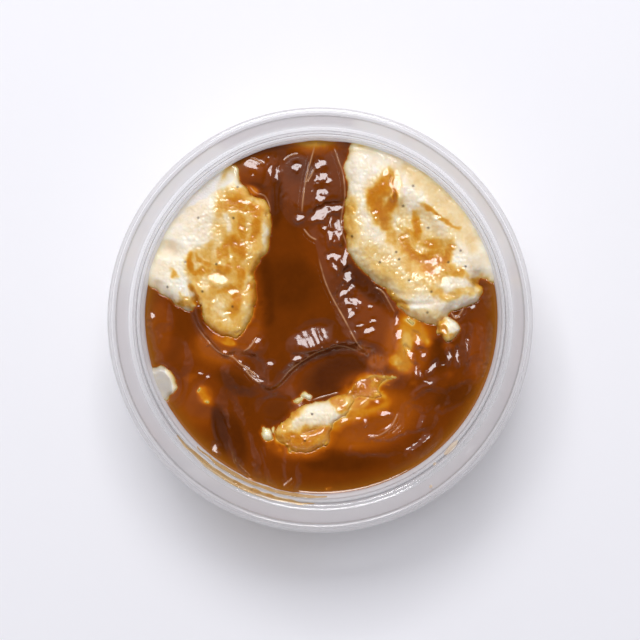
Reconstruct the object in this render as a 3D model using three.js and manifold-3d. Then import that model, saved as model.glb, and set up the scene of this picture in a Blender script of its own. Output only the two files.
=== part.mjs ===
// A side of mashed potato and brown gravy in a round clear plastic deli tub, with no lid.
//
// Units are millimetres and +Z is up. The origin is the middle of the tub's foot, so the part
// stands on the plane z = 0. +Y is the back of the tub as it is served, +X is its right.
//
// The tub is one sheet of plastic of even thickness, turned about Z. The food is two solids that
// fill it: the mash, whose banks stand out of the gravy, and the gravy that lies over and between
// them. Each has a surface z = f(x, y), worked out from a few named banks, folds and hollows.

import * as THREE from "three";
import { mergeVertices } from "three/addons/utils/BufferGeometryUtils.js";
import Module from "manifold-3d";

// ---------------------------------------------------------------- driving dimensions

const TUB_HEIGHT = 43;
const RIM_RADIUS = 58.5; // a 117 mm lid fits it
const SHEET = 0.8; // wall thickness of the plastic
const FOOT_OUTER = 44.4;
const FOOT_INNER = 40.5;
const FOOT_RISE = 1.2; // how far the floor is raised inside the foot ring
const WALL_BOTTOM = { r: 45.1, z: 2.0 }; // inner face of the tapered wall
const WALL_TOP = { r: 50.1, z: 31.6 };
const STACK_STEP_Z = 34.4; // the ledge that a nested tub sits on
const TUB_SECTORS = 56;

const GAP = 0.3; // clearance between touching pieces
const FOOD_FLOOR = SHEET + FOOT_RISE + GAP;
const FOOD_RINGS = 23; // rings of the food's surface, each with six more points than the last
const FOOD_SPAN = 46.5; // radius of the last ring before the one at the wall
const SNAP = 0.6; // points of the rings that lie this close to a bank's outline are moved onto it

const GRAVY_LEVEL = 27;
const BED_LEVEL = 18.5; // mash that lies under the gravy
const CORE_LEVEL = 28; // the tall banks' tops are measured from here, away from their edges

// ---------------------------------------------------------------- small shape functions

const TURN = 2 * Math.PI;

function smoothStep(t) {
  const u = Math.min(Math.max(t, 0), 1);
  return u * u * (3 - 2 * u);
}

// The larger of two heights, rounded where they meet over a width of `blend`.
function softMax(a, b, blend) {
  const h = Math.max(blend - Math.abs(a - b), 0) / blend;
  return Math.max(a, b) + (h * h * blend) / 4;
}

// A gentle unevenness between -1 and 1: six sine waves that cross at the golden angle.
const WAVES = 6;
const GOLDEN_ANGLE = 2.399963;

function unevenness(x, y, length, seed) {
  let sum = 0;
  for (let k = 0; k < WAVES; k += 1) {
    const heading = seed + k * GOLDEN_ANGLE;
    const reach = length * (0.7 + 0.12 * k);
    const along = x * Math.cos(heading) + y * Math.sin(heading);
    sum += Math.sin((TURN * along) / reach + seed * (k + 1) * 1.7);
  }
  return sum / WAVES;
}

// A smooth curve through the points of a line or, if closed, a loop: [[x, y], ...].
const STEPS_PER_SPAN = 5;

function smoothCurve(points, closed) {
  const path = points.map(([x, y]) => new THREE.Vector3(x, y, 0));
  const curve = new THREE.CatmullRomCurve3(path, closed, "catmullrom", 0.5);
  const spans = closed ? points.length : points.length - 1;
  return curve.getPoints(spans * STEPS_PER_SPAN).map((p) => [p.x, p.y]);
}

// The nearest place on a curve: where and how far it is, how far along from 0 to 1, and on which
// side (positive to the left of the way the curve runs).
function nearestOn(curve, x, y) {
  let best = { distance: Infinity };
  for (let i = 0; i + 1 < curve.length; i += 1) {
    const [ax, ay] = curve[i];
    const dx = curve[i + 1][0] - ax;
    const dy = curve[i + 1][1] - ay;
    const t = Math.min(Math.max(((x - ax) * dx + (y - ay) * dy) / (dx * dx + dy * dy), 0), 1);
    const at = [ax + t * dx, ay + t * dy];
    const distance = Math.hypot(x - at[0], y - at[1]);
    if (distance < best.distance) {
      const side = dx * (y - ay) - dy * (x - ax) >= 0 ? 1 : -1;
      best = { at, distance, along: (i + t) / (curve.length - 1), side };
    }
  }
  return best;
}

// Distance from a loop's line, positive inside it.
function insideDistance(loop, x, y) {
  let inside = false;
  for (let i = 0; i + 1 < loop.length; i += 1) {
    const [ax, ay] = loop[i];
    const [bx, by] = loop[i + 1];
    const crosses = ay > y !== by > y && x < ax + ((y - ay) * (bx - ax)) / (by - ay);
    inside = crosses ? !inside : inside;
  }
  return nearestOn(loop, x, y).distance * (inside ? 1 : -1);
}

// A rounded ridge along a curve: 1 on its line, with a width of its own on each side, fading out
// at both ends.
const END_FADE = 0.06;

function ridge({ line, left, right }, x, y) {
  const { distance, along, side } = nearestOn(line, x, y);
  const width = side > 0 ? left : right;
  const fade = Math.sin(Math.PI * Math.min(Math.max(along, END_FADE), 1 - END_FADE));
  return Math.sqrt(fade) * Math.exp(-((distance / width) ** 2));
}

// A rounded hump that is 1 at its middle and fades to 0 at its half sizes.
function hump({ at, half, turn }, x, y) {
  const c = Math.cos(turn);
  const s = Math.sin(turn);
  const u = ((x - at[0]) * c + (y - at[1]) * s) / half[0];
  const v = ((y - at[1]) * c - (x - at[0]) * s) / half[1];
  return 1 - smoothStep(Math.hypot(u, v));
}

// ---------------------------------------------------------------- the tub's inside

function wallRadius(z) {
  const slope = (WALL_TOP.r - WALL_BOTTOM.r) / (WALL_TOP.z - WALL_BOTTOM.z);
  return WALL_BOTTOM.r + slope * (z - WALL_BOTTOM.z);
}

// ---------------------------------------------------------------- the gravy's skin

// The thick tongue of gravy that has flowed down between the banks and ends in a lip.
const TONGUE_RISE = 1.6;
const TONGUE_EDGE = 1.8; // width of the slope at its edge
const TONGUE = smoothCurve(
  [
    [-5.9, 52.1], [-18.5, 49.9], [-29.7, 35.9], [-32.5, 7.9], [-35.8, 3.4], [-33.9, -2.7],
    [-29.7, -8], [-25.7, -11.1], [-21.5, -14.5], [-17.6, -17.8], [-15.4, -19.5], [-12.9, -19.5],
    [-10.6, -17.5], [-7.8, -14.5], [-5.3, -12.2], [-1.7, -10.3], [2.5, -8.6], [5.6, -7.8],
    [8.7, -8.3], [12, -9.7], [17.6, -10.5], [27.7, -6.1], [27.7, 10.7], [22.1, 33.1], [19.3, 52.1],
  ],
  true,
);

// The tongue is level to the left of this crease and slopes down to its right.
const CREASE_FALL = 8; // distance in which the slope takes away two thirds of the tongue's rise
const CREASE = smoothCurve(
  [
    [-11.2, 36.5], [-6.4, 28.6], [-2.2, 22.5], [-0.6, 16.6], [1.1, 10.7], [3.1, 6],
    [6.7, -0.5], [12, -9.7],
  ],
  false,
);

const HOLLOWS = [
  { at: [3.1, -17.3], half: [17.3, 11.2], turn: 0.3, depth: 1.5 },
  { at: [-12.9, -26.5], half: [5.6, 5], turn: 0.2, depth: 0.8 },
  { at: [31.1, -11.1], half: [9.5, 8.4], turn: 0, depth: 0.9 },
  { at: [-27.7, -30.7], half: [3.9, 8.4], turn: 0.15, depth: 0.7 },
];

const LOBES = [
  { at: [-19.3, 40.9], half: [7.3, 5], turn: -0.3, height: 0.8 },
  { at: [14.3, -27.9], half: [12.9, 8.4], turn: 0.3, height: 0.7 },
  { at: [-33, -22.3], half: [7.3, 6.7], turn: 0, height: 0.5 },
  { at: [-25.5, -6.1], half: [10.1, 6.7], turn: 0.1, height: 0.6 },
];

// The height of the gravy without its folds. The banks of mash are measured from it, so that an
// outline is just where its bank comes out of the gravy.
function skinHeight(x, y) {
  const crease = nearestOn(CREASE, x, y);
  const beyond = crease.side > 0 ? crease.distance * smoothStep(crease.along / 0.4) : 0;
  const rise = TONGUE_RISE * Math.exp(-beyond / CREASE_FALL);
  let z = GRAVY_LEVEL + rise * smoothStep(insideDistance(TONGUE, x, y) / TONGUE_EDGE + 0.5);
  for (const hollow of HOLLOWS) {
    z -= hollow.depth * smoothStep(2 * hump(hollow, x, y));
  }
  for (const lobe of LOBES) {
    z += lobe.height * hump(lobe, x, y);
  }
  return z;
}

// ---------------------------------------------------------------- the mash

// A bank of mash inside an outline. From the outline it rounds over to `crest`, its height over
// the gravy's skin, within the width `shoulder`. Outside, it goes down under the gravy with the
// slope `flank`. A tall bank leans on the tub, where its top falls by `wallFall`; its outline
// goes on outside the tub. A bank with a crest below zero never comes out of the gravy.
const BANKS = [
  {
    // the bank at the left wall
    crest: 3.6,
    shoulder: 6,
    flank: 1.4,
    wallFall: 3.6,
    outline: [
      [-26, 55.5], [-24.6, 44.9], [-22.1, 38.1], [-17.9, 34.2], [-15.4, 33.1], [-14.3, 30.6],
      [-14, 26.1], [-14.8, 18.6], [-18.2, 13], [-18.7, 9.3], [-18.2, 5.7], [-18.7, 1.8],
      [-21.3, -3.6], [-23.8, -5.2], [-26.6, -5.2], [-29.7, -3.8], [-32.2, -1.3], [-33.6, 1.8],
      [-35, 2.9], [-36.1, 1.8], [-38.3, 2.6], [-44.2, 6.2], [-47.3, 8.5], [-60.4, 15.8],
      [-63.2, 33.1], [-47.8, 55.5],
    ],
  },
  {
    // the bank at the right wall
    crest: 4.6,
    shoulder: 5.5,
    flank: 2.5,
    wallFall: 3.2,
    outline: [
      [8.4, 56], [8.4, 49.3], [7, 45.4], [8.1, 39.3], [7, 31.7], [6.4, 27.5], [6.7, 23],
      [9.5, 16.3], [14.5, 11], [17.6, 8.8], [21.8, 3.7], [24.9, 1.8], [28.8, 0.6], [32.2, 0.4],
      [34.4, 2.3], [37.2, 4.3], [43.6, 6], [44.5, 7.9], [43.6, 10.4], [44.2, 13.2], [45.9, 12.4],
      [47.8, 9.6], [61.3, 10.7], [64.1, 33.1], [41.7, 58.3],
    ],
  },
  {
    // the low strip in front
    crest: 1.8,
    shoulder: 3,
    flank: 0.8,
    wallFall: 0,
    outline: [
      [-12.3, -32.1], [-11.5, -29.3], [-9.2, -26.8], [-6.4, -24.3], [-2.5, -22.9], [2, -22],
      [5.6, -20.3], [10.1, -17], [12.9, -15.6], [16.5, -14.7], [20.1, -15.3], [22.6, -17],
      [19.9, -19.1], [16.8, -20.9], [14.8, -23.6], [11.5, -24], [6.2, -25.4], [2.6, -28.6],
      [2.8, -32.4], [2.2, -35.2], [-0.3, -37.1], [-4.2, -37.4], [-8.1, -36.6], [-11.2, -34.9],
    ],
  },
  {
    // a piece at the left wall
    crest: 2.4,
    shoulder: 2.6,
    flank: 1.2,
    wallFall: 0,
    outline: [
      [-51.2, -11.7], [-47.3, -13.9], [-42.8, -14.2], [-41, -17.5], [-41.1, -20.9],
      [-43.4, -23.4], [-47.8, -25.7], [-55.7, -20.6],
    ],
  },
  {
    // a half-sunk piece
    crest: 1,
    shoulder: 1.8,
    flank: 1.4,
    wallFall: 0,
    outline: [
      [-35, -19.2], [-33.6, -18.1], [-31.1, -21.5], [-29.6, -24.4], [-31.3, -25.6],
      [-34.7, -22.3],
    ],
  },
  {
    // a round lump
    crest: 2.4,
    shoulder: 2.2,
    flank: 1.5,
    wallFall: 0,
    outline: [
      [33.3, -0.5], [35.3, 0.6], [37.5, -0.2], [38.6, -2.4], [38.1, -4.7], [36.1, -6.1],
      [34.1, -5.2], [33, -3],
    ],
  },
  {
    // sunk mash below the right bank
    crest: -1.5,
    shoulder: 1,
    flank: 1.3,
    wallFall: 0,
    outline: [
      [21.5, 2.3], [29.1, 1.8], [33.3, 0.6], [35, -3.3], [29.9, -7.8], [25.7, -10.5],
      [26, -13.6], [21, -16.1], [14.8, -15.9], [19.6, -11.7], [21.3, -5.5],
    ],
  },
  {
    // sunk mash right of the strip
    crest: -1.5,
    shoulder: 1,
    flank: 0.9,
    wallFall: 0,
    outline: [
      [1.4, -29.6], [7, -24.5], [15.4, -22.9], [18.2, -18.1], [22.1, -18.1], [24.1, -23.4],
      [18.7, -28.5], [9.8, -31], [3.1, -36], [-0.8, -34.1],
    ],
  },
].map((bank) => ({ ...bank, loop: smoothCurve(bank.outline, true) }));

// Where the mash sinks: towards the wall, in its cracks, and in the dished top of the right bank.
const WALL_FALL_START = 43;
const NOTCH = { at: [-42, 19.1], half: [5, 3.4], turn: -0.2, depth: 3 };
const SAUCER = { at: [26.6, 23], half: [19, 11], turn: -0.85, depth: 2.2 };
const CRACKS = [
  { depth: 2.4, left: 1.2, right: 1.2, path: [[-36.7, 9.6], [-35.8, 7.1], [-33.6, 2]] },
  { depth: 1.2, left: 1.1, right: 1.1, path: [[21.5, 4.6], [25.5, 4], [30.5, 4.3]] },
  { depth: 1, left: 1.1, right: 1.1, path: [[-5, -32.1], [-2, -31.3], [0.8, -29.9]] },
  { depth: 0.9, left: 1.2, right: 1.2, path: [[42.2, 14.1], [43.1, 11.3], [42.8, 7.9]] },
].map((crack) => ({ ...crack, line: smoothCurve(crack.path, false) }));

// The crumbly unevenness of the mash, gone where it is pressed flat under the gravy.
const SWELLS = [
  { height: 0.4, length: 9, seed: 5.1 },
  { height: 0.4, length: 5, seed: 1.4 },
];

function bankHeight({ crest, shoulder, flank, wallFall }, depth, skin) {
  const lowest = Math.min(crest, 0);
  if (depth < 0) {
    return skin + lowest + flank * depth;
  }
  const reach = Math.min(depth / shoulder, 1);
  const core = wallFall > 0 ? (CORE_LEVEL - skin) * smoothStep(depth / 4) : 0;
  return skin + core + lowest + (crest - lowest) * (1 - (1 - reach) ** 2);
}

function mashHeight(x, y) {
  const wall = wallRadius(GRAVY_LEVEL);
  const fall = smoothStep((Math.hypot(x, y) - WALL_FALL_START) / (wall - WALL_FALL_START));
  const skin = skinHeight(x, y);
  let z = BED_LEVEL + 1.8 * unevenness(x, y, 34, 2.3);
  for (const bank of BANKS) {
    const top = bankHeight(bank, insideDistance(bank.loop, x, y), skin);
    z = softMax(z, top - bank.wallFall * fall, 0.4);
  }
  z -= NOTCH.depth * hump(NOTCH, x, y) + SAUCER.depth * smoothStep(1.4 * hump(SAUCER, x, y));
  for (const crack of CRACKS) {
    z -= crack.depth * ridge(crack, x, y);
  }
  const bare = smoothStep((z - skin - 0.3) / 1.5);
  for (const { height, length, seed } of SWELLS) {
    z += bare * height * unevenness(x, y, length, seed);
  }
  return z;
}

// ---------------------------------------------------------------- the gravy

// Folds in the gravy's skin: a ridge along a curve, with its own height and width on each side.
const FOLDS = [
  { height: 1.5, left: 5, right: 1.8, path: [[-8.7, -13.9], [-5, -11.7], [-1.4, -10], [2.5, -8.9]] },
  { height: 0.4, left: 1.6, right: 2.2, path: [[1.7, 48.2], [1.4, 31.7], [7, 12.1], [12, -6.1]] },
  { height: 0.5, left: 1.2, right: 1.4, path: [[-14.8, 44.3], [-13.7, 40.9], [-16.5, 35.9]] },
  { height: 0.5, left: 1.2, right: 1.4, path: [[-11.8, 43.7], [-12.9, 35.9], [-12.6, 30.3]] },
  {
    height: 0.8,
    left: 1.4,
    right: 1.3,
    path: [[-35.8, 1.8], [-33.9, -3.3], [-29.7, -8.3], [-21.8, -13.9], [-14.8, -20.1]],
  },
  { height: 0.5, left: 1.6, right: 1.6, path: [[-16.5, -18.4], [-13.7, -20.6], [-7, -21.2]] },
  {
    height: 0.6,
    left: 1.8,
    right: 2,
    path: [[-32.5, -24.3], [-28.8, -25.4], [-25.2, -32.7], [-23.5, -36.8], [-15.9, -44.4]],
  },
  { height: 0.5, left: 1.3, right: 1.3, path: [[-24.3, -23.4], [-22.1, -31.3], [-14.8, -43.6]] },
  { height: 0.5, left: 1.3, right: 1.3, path: [[-14.3, -34.1], [-12.6, -38.2], [-10.6, -45.8]] },
  {
    height: 1,
    left: 1.6,
    right: 2.2,
    path: [[42.8, 5.7], [44.8, -3.8], [43.6, -9.4], [39.2, -16.7], [28.8, -19.5]],
  },
  {
    height: 0.8,
    left: 1.4,
    right: 1.8,
    path: [[30.5, -19.5], [26.9, -23.4], [25.2, -26.8], [20.4, -32.9], [12.6, -36]],
  },
  { height: 0.5, left: 2, right: 2, path: [[28.8, -26.2], [30.8, -30.7], [26, -38.5], [21.5, -40.5]] },
  { height: 0.5, left: 2.2, right: 2.2, path: [[-44.2, 7.4], [-45, 2.3], [-42.2, -8.9], [-40, -13.9]] },
  { height: 0.5, left: 1.5, right: 1.5, path: [[-43.4, -11.7], [-38.9, -18.4], [-42.8, -25.1]] },
  { height: 0.5, left: 1.5, right: 1.6, path: [[12.6, 5.1], [15.9, 1.8], [19.9, -7.5]] },
].map((fold) => ({ ...fold, line: smoothCurve(fold.path, false) }));

// The gravy stops on the flanks of the tall banks: further in it is taken well below them.
const DRY_FROM = 2.5;
const DRY_TO = 5;
const DRY_DROP = 16;

function dryDrop(x, y) {
  const tall = BANKS.filter(({ wallFall }) => wallFall > 0);
  const deepest = Math.max(...tall.map(({ loop }) => insideDistance(loop, x, y)));
  return DRY_DROP * smoothStep((deepest - DRY_FROM) / (DRY_TO - DRY_FROM));
}

function gravyHeight(x, y) {
  let z = skinHeight(x, y) + 0.08 * unevenness(x, y, 17, 3.7);
  for (const fold of FOLDS) {
    z += fold.height * ridge(fold, x, y);
  }
  return z - dryDrop(x, y);
}

// ---------------------------------------------------------------- closed bodies from a surface

// A point moved onto the nearest outline of a bank, if that is close.
function snapped(x, y) {
  let best = { at: [x, y], distance: SNAP };
  for (const { loop } of BANKS) {
    const near = nearestOn(loop, x, y);
    best = near.distance < best.distance ? near : best;
  }
  return best.at;
}

// Ring k of the surface has 6k points, evenly spread. The last ring stands at `edgeRadius(z)`.
function surfacePoints(height, edgeRadius) {
  const points = [[0, 0, height(0, 0)]];
  for (let k = 1; k <= FOOD_RINGS; k += 1) {
    for (let j = 0; j < 6 * k; j += 1) {
      const angle = (TURN * j) / (6 * k);
      const c = Math.cos(angle);
      const s = Math.sin(angle);
      if (k === FOOD_RINGS) {
        const guess = wallRadius(GRAVY_LEVEL);
        const z = height(guess * c, guess * s);
        points.push([edgeRadius(z) * c, edgeRadius(z) * s, z]);
      } else {
        const r = (FOOD_SPAN * k) / (FOOD_RINGS - 1);
        const [x, y] = snapped(r * c, r * s);
        points.push([x, y, height(x, y)]);
      }
    }
  }
  return points;
}

const ringStart = (k) => (k === 0 ? 0 : 1 + 3 * k * (k - 1));
const ringPoint = (k, j) => (k === 0 ? 0 : ringStart(k) + (j % (6 * k)));

function surfaceFaces() {
  const faces = [];
  for (let k = 1; k <= FOOD_RINGS; k += 1) {
    for (let sixth = 0; sixth < 6; sixth += 1) {
      for (let i = 0; i < k; i += 1) {
        const outer = sixth * k + i;
        const inner = sixth * (k - 1) + i;
        faces.push([ringPoint(k - 1, inner), ringPoint(k, outer), ringPoint(k, outer + 1)]);
        if (i < k - 1) {
          faces.push([ringPoint(k - 1, inner), ringPoint(k, outer + 1), ringPoint(k - 1, inner + 1)]);
        }
      }
    }
  }
  return faces;
}

// A body below a surface: its top is z = height(x, y), its side leans with the tub's wall, and
// its flat bottom is at `floor`. A `flange` carries the surface's edge on outwards, level.
function bodyBelow(height, floor, flange) {
  const points = surfacePoints(height, (z) => wallRadius(z) - GAP);
  const faces = surfaceFaces();
  const around = 6 * FOOD_RINGS;
  const rims = [() => [wallRadius(floor) - GAP + flange, floor]];
  if (flange > 0) {
    rims.unshift((r, z) => [r + flange, z]);
  }
  let upper = ringStart(FOOD_RINGS);
  for (const rim of rims) {
    const lower = points.length;
    for (let j = 0; j < around; j += 1) {
      const [x, y, z] = points[upper + j];
      const before = Math.hypot(x, y);
      const [r, low] = rim(before, z);
      points.push([(x * r) / before, (y * r) / before, low]);
      const next = (j + 1) % around;
      faces.push([upper + j, lower + j, upper + next]);
      faces.push([upper + next, lower + j, lower + next]);
    }
    upper = lower;
  }
  const middle = points.push([0, 0, floor]) - 1;
  for (let j = 0; j < around; j += 1) {
    faces.push([middle, upper + ((j + 1) % around), upper + j]);
  }
  const geometry = new THREE.BufferGeometry();
  geometry.setAttribute("position", new THREE.Float32BufferAttribute(points.flat(), 3));
  geometry.setIndex(faces.flat());
  return geometry;
}

// ---------------------------------------------------------------- joins and cuts

const wasm = await Module();
wasm.setup();

function toSolid(geometry) {
  const bare = geometry.clone();
  bare.deleteAttribute("normal");
  bare.deleteAttribute("uv");
  const merged = mergeVertices(bare);
  return new wasm.Manifold(
    new wasm.Mesh({
      numProp: 3,
      vertProperties: new Float32Array(merged.attributes.position.array),
      triVerts: new Uint32Array(merged.index.array),
    }),
  );
}

function toGeometry(solid) {
  const { vertProperties, triVerts } = solid.getMesh();
  const geometry = new THREE.BufferGeometry();
  geometry.setAttribute("position", new THREE.BufferAttribute(vertProperties, 3));
  geometry.setIndex(new THREE.BufferAttribute(triVerts, 1));
  return geometry;
}

function largestBody(solid) {
  const bodies = solid.decompose();
  return bodies.reduce((best, body) => (body.volume() > best.volume() ? body : best));
}

// ---------------------------------------------------------------- the pieces

// The mash's surface raised by the gap, measured square to its slope.
const STEEPEST = 2.5;

function mashWithGap(x, y) {
  const step = 0.5;
  const slopeX = (mashHeight(x + step, y) - mashHeight(x - step, y)) / (2 * step);
  const slopeY = (mashHeight(x, y + step) - mashHeight(x, y - step)) / (2 * step);
  return mashHeight(x, y) + GAP * Math.min(Math.hypot(1, slopeX, slopeY), STEEPEST);
}

function makeMash() {
  return bodyBelow(mashHeight, FOOD_FLOOR, 0);
}

function makeGravy() {
  const deep = FOOD_FLOOR + 2;
  const block = toSolid(bodyBelow(gravyHeight, deep, 0));
  const mash = toSolid(bodyBelow(mashWithGap, deep - 1, 2));
  return toGeometry(largestBody(block.subtract(mash)));
}

// The tub's inner line, from the middle of the floor, up the wall and over the rim to the
// edge of its skirt. The outer line is the same sheet's other face.
function innerLine() {
  const floor = SHEET + FOOT_RISE;
  return [
    [0, floor],
    [FOOT_INNER - 1.2, floor],
    [FOOT_INNER - 0.3, SHEET],
    [FOOT_OUTER - 0.4, SHEET],
    [WALL_BOTTOM.r, WALL_BOTTOM.z],
    [WALL_TOP.r, WALL_TOP.z],
    [WALL_TOP.r + 0.4, WALL_TOP.z + 0.8],
    [WALL_TOP.r + 1.3, WALL_TOP.z + 1.2],
    [WALL_TOP.r + 1.5, STACK_STEP_Z - 0.5],
    [WALL_TOP.r + 2.0, STACK_STEP_Z],
    [WALL_TOP.r + 3.0, STACK_STEP_Z + 0.2],
    [WALL_TOP.r + 3.4, STACK_STEP_Z + 0.9],
    [RIM_RADIUS - 2.7, TUB_HEIGHT - 1],
    [RIM_RADIUS - 2.2, TUB_HEIGHT - 0.3],
    [RIM_RADIUS - 1.5, TUB_HEIGHT],
    [RIM_RADIUS - 0.7, TUB_HEIGHT - 0.2],
    [RIM_RADIUS, TUB_HEIGHT - 1],
    [RIM_RADIUS, TUB_HEIGHT - 3.4],
  ];
}

// Moves each point of a line square to it by `distance`, to the right of the way it runs.
function offsetLine(line, distance) {
  return line.map(([r, z], i) => {
    const before = line[Math.max(i - 1, 0)];
    const after = line[Math.min(i + 1, line.length - 1)];
    const first = i === 0 ? [1, 0] : unit([r - before[0], z - before[1]]);
    const second = i === line.length - 1 ? first : unit([after[0] - r, after[1] - z]);
    const bisector = [first[1] + second[1], -first[0] - second[0]];
    const scale = (2 * distance) / (bisector[0] ** 2 + bisector[1] ** 2);
    return [r + bisector[0] * scale, z + bisector[1] * scale];
  });
}

function unit([r, z]) {
  const length = Math.hypot(r, z);
  return [r / length, z / length];
}

function makeTub() {
  const inner = innerLine();
  const outer = offsetLine(inner, SHEET);
  const section = [...outer, ...inner.reverse()].map(([r, z]) => new THREE.Vector2(r, z));
  const shell = new THREE.LatheGeometry(section, TUB_SECTORS);
  return shell.rotateX(Math.PI / 2);
}

// ---------------------------------------------------------------- the object

function piece(name, geometry, finish) {
  const mesh = new THREE.Mesh(geometry, new THREE.MeshStandardMaterial(finish));
  mesh.name = name;
  return mesh;
}

const side = new THREE.Group();
side.add(
  piece("tub", makeTub(), {
    color: 0xe9ecee,
    roughness: 0.12,
    metalness: 0,
    transparent: true,
    opacity: 0.3,
  }),
  piece("mash", makeMash(), { color: 0xf0e6d2, roughness: 0.55, metalness: 0 }),
  piece("gravy", makeGravy(), { color: 0x6e3404, roughness: 0.12, metalness: 0 }),
);

export default side;
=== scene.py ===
# %% [markdown]
# # A side of mashed potato and gravy in a clear deli tub
#
# The real thing is three materials that touch: a thin clear tub, cream mash that fills it, and a
# thick brown gravy that has run over the mash and set into folds. The script builds each one as
# its own closed mesh in metres, at real size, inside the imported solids.
#
# The food has no parts that could be drawn as boxes or tubes. It is a landscape, so it is built
# as one: a height z = f(x, y) for the mash and another for the gravy. Where the gravy's height is
# the larger one, gravy shows. Where it is only a little larger, the film is thin and the cream
# colour of the mash glows through.

import bpy
import numpy as np
from mathutils import Matrix, Vector


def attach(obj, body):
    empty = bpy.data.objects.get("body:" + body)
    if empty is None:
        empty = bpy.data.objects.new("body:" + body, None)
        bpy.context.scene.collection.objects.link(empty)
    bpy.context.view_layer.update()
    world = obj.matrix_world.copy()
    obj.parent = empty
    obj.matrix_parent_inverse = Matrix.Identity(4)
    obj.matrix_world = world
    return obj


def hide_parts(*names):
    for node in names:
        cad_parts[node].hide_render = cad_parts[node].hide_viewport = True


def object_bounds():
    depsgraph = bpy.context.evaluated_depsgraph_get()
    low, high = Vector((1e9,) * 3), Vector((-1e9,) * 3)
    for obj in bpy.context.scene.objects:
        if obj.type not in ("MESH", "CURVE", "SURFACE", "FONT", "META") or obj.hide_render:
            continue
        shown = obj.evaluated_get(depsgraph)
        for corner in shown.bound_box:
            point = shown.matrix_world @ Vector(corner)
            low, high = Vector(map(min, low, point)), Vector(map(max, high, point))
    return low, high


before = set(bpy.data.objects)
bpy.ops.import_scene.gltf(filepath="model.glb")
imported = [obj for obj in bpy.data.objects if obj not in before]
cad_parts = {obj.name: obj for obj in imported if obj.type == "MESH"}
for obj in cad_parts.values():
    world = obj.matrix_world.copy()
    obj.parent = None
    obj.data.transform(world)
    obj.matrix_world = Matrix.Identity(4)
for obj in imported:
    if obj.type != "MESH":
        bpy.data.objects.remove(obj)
cad_box = [list(corner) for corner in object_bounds()]
print("packed box in metres:", cad_box)

# %% [markdown]
# ## Camera
#
# The tub is seen from straight above, by a long lens, so its rim is nearly a circle and its wall
# hardly shows. The camera leans by less than three degrees. Its rotation is written as a matrix
# because a camera that looks straight down has no natural "up": the back of the tub, +Y, is up.

# %% Place the camera
MM = 0.001
IMAGE_WIDTH_PX = 640
PX_PER_MM_AT_RIM = 3.65
SENSOR_MM = 36.0
RIM_HEIGHT = cad_box[1][2] / MM
CAMERA_AT = Vector((18.0, 33.5, 793.0))
CAMERA_AIM = Vector((0.08, 0.2, RIM_HEIGHT))

camera_data = bpy.data.cameras.new("camera")
camera = bpy.data.objects.new("camera", camera_data)
bpy.context.scene.collection.objects.link(camera)
bpy.context.scene.camera = camera

rim_distance = CAMERA_AT.z - RIM_HEIGHT
camera_data.sensor_width = SENSOR_MM
camera_data.lens = SENSOR_MM * PX_PER_MM_AT_RIM * rim_distance / IMAGE_WIDTH_PX
camera_data.clip_start = 0.01

backward = (CAMERA_AT - CAMERA_AIM).normalized()
right = Vector((0, 1, 0)).cross(backward).normalized()
upward = backward.cross(right)
rotation = Matrix((right, upward, backward)).transposed()
camera.matrix_world = Matrix.Translation(CAMERA_AT * MM) @ rotation.to_4x4()
print("lens in mm:", round(camera_data.lens, 1))

# %% [markdown]
# ## Three helpers: a colour, a node, a mesh
#
# Colours are picked in sRGB, as a screen shows them, but a renderer adds up light, so every colour
# is turned to linear once, in one place. A shader node is always the same few steps (make it, set
# it, link it), so one function does them. A mesh is points and faces in arrays, which is the
# quickest way to make 100,000 of them.

# %% Colour
def linear(hex_colour):
    """An sRGB hex colour as the linear red, green, blue and alpha that Blender's sockets take."""
    channels = [int(hex_colour[i:i + 2], 16) / 255 for i in (0, 2, 4)]
    light = [c / 12.92 if c <= 0.04045 else ((c + 0.055) / 1.055) ** 2.4 for c in channels]
    return (*light, 1.0)


# %% Node
def set_input(tree, socket, value):
    """Links an input socket to a node or an output socket, or gives it a constant."""
    if isinstance(value, bpy.types.Node):
        tree.links.new(value.outputs[0], socket)
    elif isinstance(value, bpy.types.NodeSocket):
        tree.links.new(value, socket)
    else:
        socket.default_value = value


def add_node(tree, kind, settings=None, inputs=None, stops=None):
    """Adds a shader node. An input is a constant, an output socket, or a node for its first output."""
    node = tree.nodes.new("ShaderNode" + kind)
    for name, value in (settings or {}).items():
        setattr(node, name, value)
    for name, value in (inputs or {}).items():
        set_input(tree, node.inputs[name], value)
    if stops:
        ramp = node.color_ramp.elements
        while len(ramp) < len(stops):
            ramp.new(1.0)
        for element, (position, colour) in zip(ramp, stops):
            element.position = position
            element.color = colour
    return node


def new_material(name):
    """A material and its node tree, which is empty and ready for a shader."""
    material = bpy.data.materials.new(name)
    material.use_nodes = True
    material.node_tree.nodes.clear()
    return material, material.node_tree


# %% Mesh
def make_piece(name, points_mm, faces, material, values=None):
    """A smooth mesh from arrays. `values` are named numbers, one for each point, for its material."""
    mesh = bpy.data.meshes.new(name)
    mesh.from_pydata((np.asarray(points_mm) * MM).tolist(), [], faces)
    mesh.shade_smooth()
    mesh.materials.append(material)
    for key, numbers in (values or {}).items():
        attribute = mesh.attributes.new(key, "FLOAT", "POINT")
        attribute.data.foreach_set("value", np.asarray(numbers, np.float32))
    mesh.validate()
    piece = bpy.data.objects.new(name, mesh)
    bpy.context.scene.collection.objects.link(piece)
    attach(piece, "root")
    print(f"{name}: {len(mesh.vertices)} points, {len(mesh.polygons)} faces")
    return piece


# %% [markdown]
# ## The tub's section
#
# A deli tub is thermoformed or thin-wall moulded, so it is one sheet of even thickness that has
# been pushed into shape. That makes it easy to model: draw the inner line once, offset it by the
# sheet's thickness, and turn both about the axis. The heights and radii come from the packed
# solid, so the tub stays the same size as it.

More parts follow.
